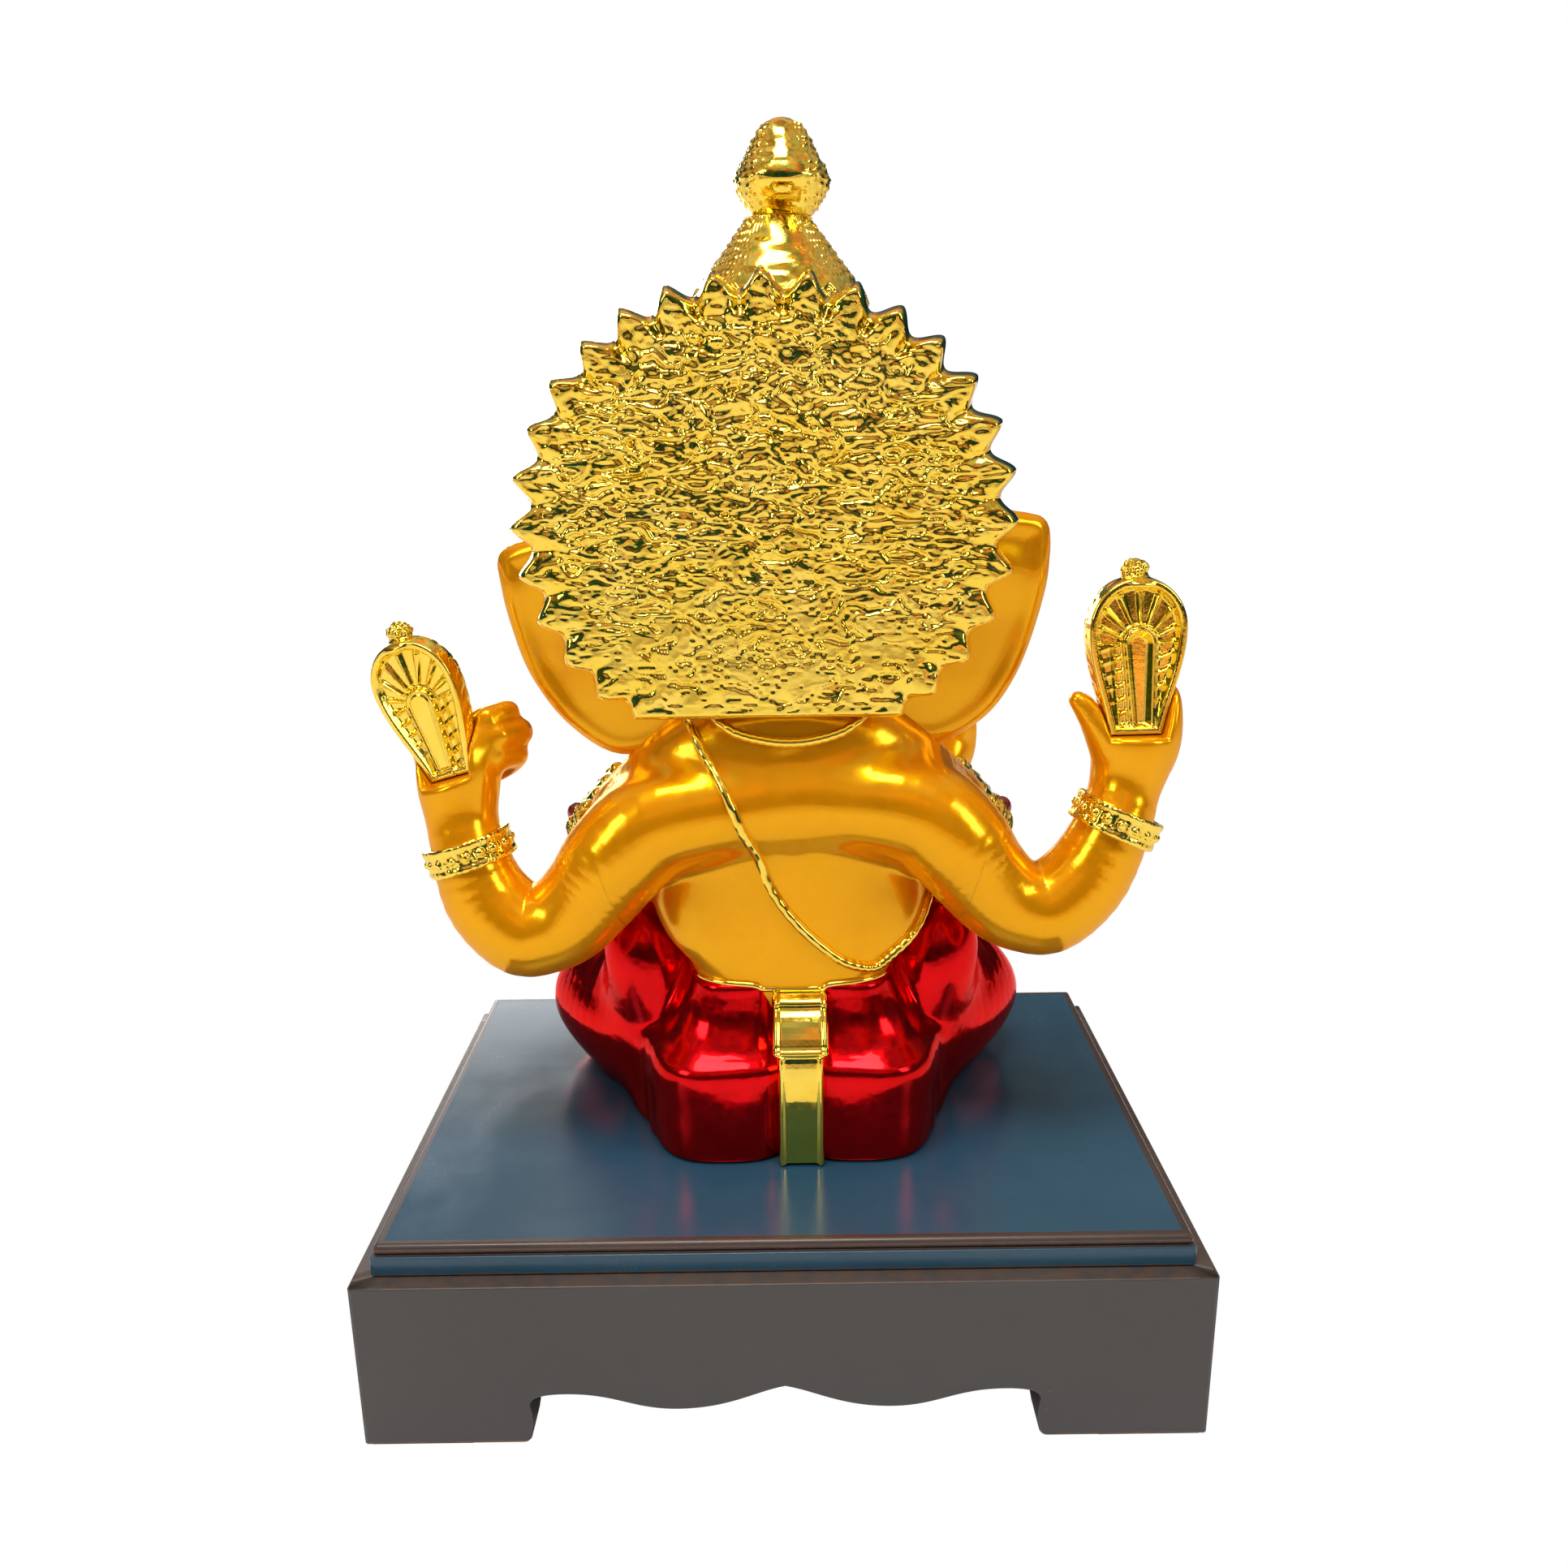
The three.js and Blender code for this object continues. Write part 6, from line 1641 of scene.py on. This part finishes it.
def build_slab():
    lo, hi = np.array(slab_lo) / MM, np.array(slab_hi) / MM
    cx, cy = (lo[0] + hi[0]) / 2, (lo[1] + hi[1]) / 2
    hx, hy = (hi[0] - lo[0]) / 2, (hi[1] - lo[1]) / 2
    height = hi[2] - lo[2]
    straight = 4.8
    # profile: how far in from the slab's edge, the height, and the way the surface faces (out, up)
    profile = [(1.2, 0.0, 0, -1), (0.25, 0.0, 0, -1), (0.06, 0.1, 0.7, -0.7), (0.0, 0.3, 1, 0), (0.0, straight - 0.35, 1, 0), (0.12, straight - 0.12, 0.8, 0.6),
               (0.4, straight, 0.1, 1), (0.62, straight + 0.02, 0, 1)]
    nose_r = (height - straight) / 2
    for a in np.linspace(-70, 90, 12):
        c, s = math.cos(math.radians(a)), math.sin(math.radians(a))
        profile.append((0.75 + nose_r * (1 - c), straight + nose_r + nose_r * s, c, s))
    profile += [(3.0, height, 0, 1), (8.0, height, 0, 1)]
    count = 16

    def ring(inset, z, out, up):
        pts, nrm = [], []
        r = max(0.9 - inset * 0.2, 0.5)
        for (sx, sy, a0) in ((1, 1, 0), (-1, 1, 90), (-1, -1, 180), (1, -1, 270)):
            for a in np.linspace(a0, a0 + 90, count):
                c, s = math.cos(math.radians(a)), math.sin(math.radians(a))
                pts.append((cx + sx * (hx - inset - r) + r * c, cy + sy * (hy - inset - r) + r * s, lo[2] + z))
                nrm.append((out * c, out * s, up))
        return np.array(pts) * MM, np.array(nrm) / max(math.hypot(out, up), 1e-9)
    rings, norms = zip(*[ring(*p) for p in profile])
    nose = range(6, len(profile) - 2)
    ob = stacked("top_slab", list(rings), list(norms), [SLAB_PAINTED_REFLECTION, NOSING], "plinth_lacquer", "top_slab", face_material=lambda k: 1 if k in nose else 0)
    return ob


def dress_hidden():
    """The CAD's own blocks, board, pads and screws stay in place and only get their finish."""
    looks = {"raw_wood": WOOD, "felt": FELT, "screw_steel": STEEL}
    for sub in frame["record"]["subparts"]:
        if sub["material_slot"] in looks:
            me = frame["nodes"][sub["node"]].data
            me.materials.clear()
            me.materials.append(looks[sub["material_slot"]])


# ---- light, room and camera -----------------------------------------------------------------------------
def build_world():
    w = bpy.data.worlds.new("room")
    bpy.context.scene.world = w
    w.use_nodes = True
    t = w.node_tree
    t.nodes.clear()

    def add(kind, settings=None, **inputs):
        n = t.nodes.new("ShaderNode" + kind)
        for k, v in (settings or {}).items():
            setattr(n, k, v)
        for k, v in inputs.items():
            socket = n.inputs[int(k[1:])] if k[1:].isdigit() else n.inputs[k.replace("_", " ")]
            if isinstance(v, bpy.types.NodeSocket):
                t.links.new(v, socket)
            else:
                socket.default_value = v
        return n
    way = add("TexCoord").outputs["Generated"]
    split = add("SeparateXYZ", _0=way)
    up = add("Math", {"operation": "ARCSINE"}, _0=split.outputs[2]).outputs[0]
    height = add("MapRange", Value=up, From_Min=-math.pi / 2, From_Max=math.pi / 2).outputs[0]
    ramp = add("ValToRGB", Fac=height)
    stops = [(-90, (0.80, 0.78, 0.74)), (-1.5, (0.92, 0.91, 0.89)), (-0.3, (0.9, 0.89, 0.87)), (0.6, (0.012, 0.035, 0.045)), (8, (0.010, 0.050, 0.075)), (16, (0.022, 0.085, 0.125)),
             (24, (0.09, 0.10, 0.10)), (36, (0.34, 0.31, 0.28)), (55, (0.46, 0.45, 0.43)), (90, (0.44, 0.44, 0.43))]
    els = ramp.color_ramp.elements
    while len(els) > 1:
        els.remove(els[-1])
    els[0].position = 0.0
    els[0].color = (*stops[0][1], 1)
    for deg, c in stops[1:]:
        els.new((deg + 90) / 180).color = (*c, 1)
    # large soft shapes of the room: darker fittings and paler walls round the horizon
    shapes = add("TexNoise", Vector=way, Scale=2.6, Detail=4.0, Roughness=0.6)
    blobs = add("MapRange", Value=shapes.outputs["Fac"], From_Min=0.35, From_Max=0.65, To_Min=0.35, To_Max=1.65).outputs[0]
    above = add("MapRange", Value=up, From_Min=0.0, From_Max=0.03).outputs[0]
    vary = add("Mix", {"data_type": "FLOAT"}, _0=above, _2=1.0, _3=blobs).outputs[0]
    warm = add("Mix", {"data_type": "RGBA"})
    t.links.new(add("MapRange", Value=add("TexNoise", Vector=way, Scale=4.0, Detail=2.0).outputs["Fac"], From_Min=0.45, From_Max=0.6).outputs[0], warm.inputs[0])
    t.links.new(ramp.outputs[0], warm.inputs[6])
    tint = add("Mix", {"data_type": "RGBA", "blend_type": "MULTIPLY"})
    tint.inputs[0].default_value = 1.0
    t.links.new(ramp.outputs[0], tint.inputs[6])
    tint.inputs[7].default_value = (1.9, 0.8, 0.42, 1)
    t.links.new(tint.outputs[2], warm.inputs[7])
    # rows of small lamps under the ceiling
    cells = add("TexVoronoi", Vector=way, Scale=7.5, Randomness=0.75)
    dot = add("MapRange", Value=cells.outputs["Distance"], From_Min=0.085, From_Max=0.05, To_Min=0.0, To_Max=1.0).outputs[0]
    zone = add("Math", {"operation": "MULTIPLY"}, _0=add("MapRange", Value=up, From_Min=0.42, From_Max=0.5).outputs[0],
               _1=add("MapRange", Value=up, From_Min=1.25, From_Max=1.1).outputs[0]).outputs[0]
    lamps = add("Math", {"operation": "MULTIPLY"}, _0=dot, _1=zone).outputs[0]
    power = add("Math", {"operation": "MULTIPLY"}, _0=lamps, _1=9.0).outputs[0]
    base = add("Background", Color=warm.outputs[2], Strength=vary)
    dots = add("Background", Color=(1.0, 0.97, 0.92, 1), Strength=power)
    room = add("AddShader", _0=base.outputs[0], _1=dots.outputs[0]).outputs[0]
    backdrop = add("Background", Color=(1, 1, 1, 1), Strength=1.0).outputs[0]
    seen = add("LightPath").outputs["Is Camera Ray"]
    mix = add("MixShader", _0=seen, _1=room, _2=backdrop)
    t.links.new(mix.outputs[0], add("OutputWorld").inputs["Surface"])


def area(name, at, to, size, power, colour=(1, 1, 1), ratio=1.0):
    data = bpy.data.lights.new(name, "AREA")
    data.shape = "RECTANGLE"
    data.size, data.size_y = size, size * ratio
    data.energy = power
    data.color = colour
    ob = bpy.data.objects.new(name, data)
    bpy.context.scene.collection.objects.link(ob)
    ob.location = at
    ob.rotation_mode = "QUATERNION"
    ob.rotation_quaternion = (Vector(to) - Vector(at)).to_track_quat("-Z", "Y")
    return ob


def build_stage():
    L = Look("pale_table")
    tone = L.mix(L.noise(0.01, 3.0), (0.95, 0.94, 0.92), (0.91, 0.90, 0.88))
    pale = L.finish(L.surface(Base_Color=tone, Roughness=L.ramp(L.noise(0.05, 3.0), 0.3, 0.7, 0.5, 0.7)))
    s = 4.0
    V = np.array([(-s, -s, 0), (s, -s, 0), (s, s, 0), (-s, s, 0)], float)
    me = new_mesh("table_top", V, np.array([[0, 1, 2, 3]]), world=True)
    ob = bpy.data.objects.new("table_top", me)
    me.materials.append(pale)
    bpy.context.scene.collection.objects.link(ob)
    ob.visible_camera = False
    centre = (0, 0, 0.15)
    area("softbox_over", (0.1, 0.35, 1.5), centre, 0.7, 12, (1, 0.98, 0.96), 0.7)
    area("softbox_camera_left", (1.25, 0.95, 1.0), centre, 0.5, 6, (1, 0.99, 0.98), 1.4)
    area("softbox_camera_right", (-1.3, 0.8, 0.9), centre, 0.5, 5, (1, 0.99, 0.98), 1.4)
    area("softbox_front", (0.5, -1.5, 0.42), centre, 0.8, 8, (1, 0.98, 0.96), 0.8)


def build_camera():
    cam = bpy.data.cameras.new("camera")
    cam.sensor_width = 36.0
    cam.lens = 29.452
    cam.clip_start, cam.clip_end = 0.01, 100
    ob = bpy.data.objects.new("camera", cam)
    bpy.context.scene.collection.objects.link(ob)
    yaw, pitch, roll = -0.001, 0.270, -0.013
    f = Vector((math.sin(yaw) * math.cos(pitch), -math.cos(yaw) * math.cos(pitch), -math.sin(pitch)))
    right = f.cross(Vector((0, 0, 1))).normalized()
    up = right.cross(f)
    r2 = right * math.cos(roll) + up * math.sin(roll)
    u2 = -right * math.sin(roll) + up * math.cos(roll)
    ob.matrix_world = Matrix(((r2.x, u2.x, -f.x, -0.001312), (r2.y, u2.y, -f.y, 0.32378), (r2.z, u2.z, -f.z, 0.23212), (0, 0, 0, 1)))
    bpy.context.scene.camera = ob


# ---- build ------------------------------------------------------------------------------------------------
import time
clock = time.time()


def timed(label, action):
    global clock
    action()
    print("%-12s %5.1f s" % (label, time.time() - clock))
    clock = time.time()


timed("plinth", lambda: (build_aprons(), build_slab(), dress_hidden()))
timed("skin", build_skin)
timed("dhoti", build_dhoti)
timed("head", build_head)
timed("plate", build_plate)
timed("crown", build_crown)
timed("emblems", build_emblems)
timed("rings", build_rings)
timed("cords", build_cords)
timed("sash", build_sash)
timed("pleat", build_pleat)
timed("bowl", build_bowl)
build_world()
build_stage()
build_camera()
scene = bpy.context.scene
scene.view_settings.view_transform = "Standard"
scene.view_settings.look = "None"
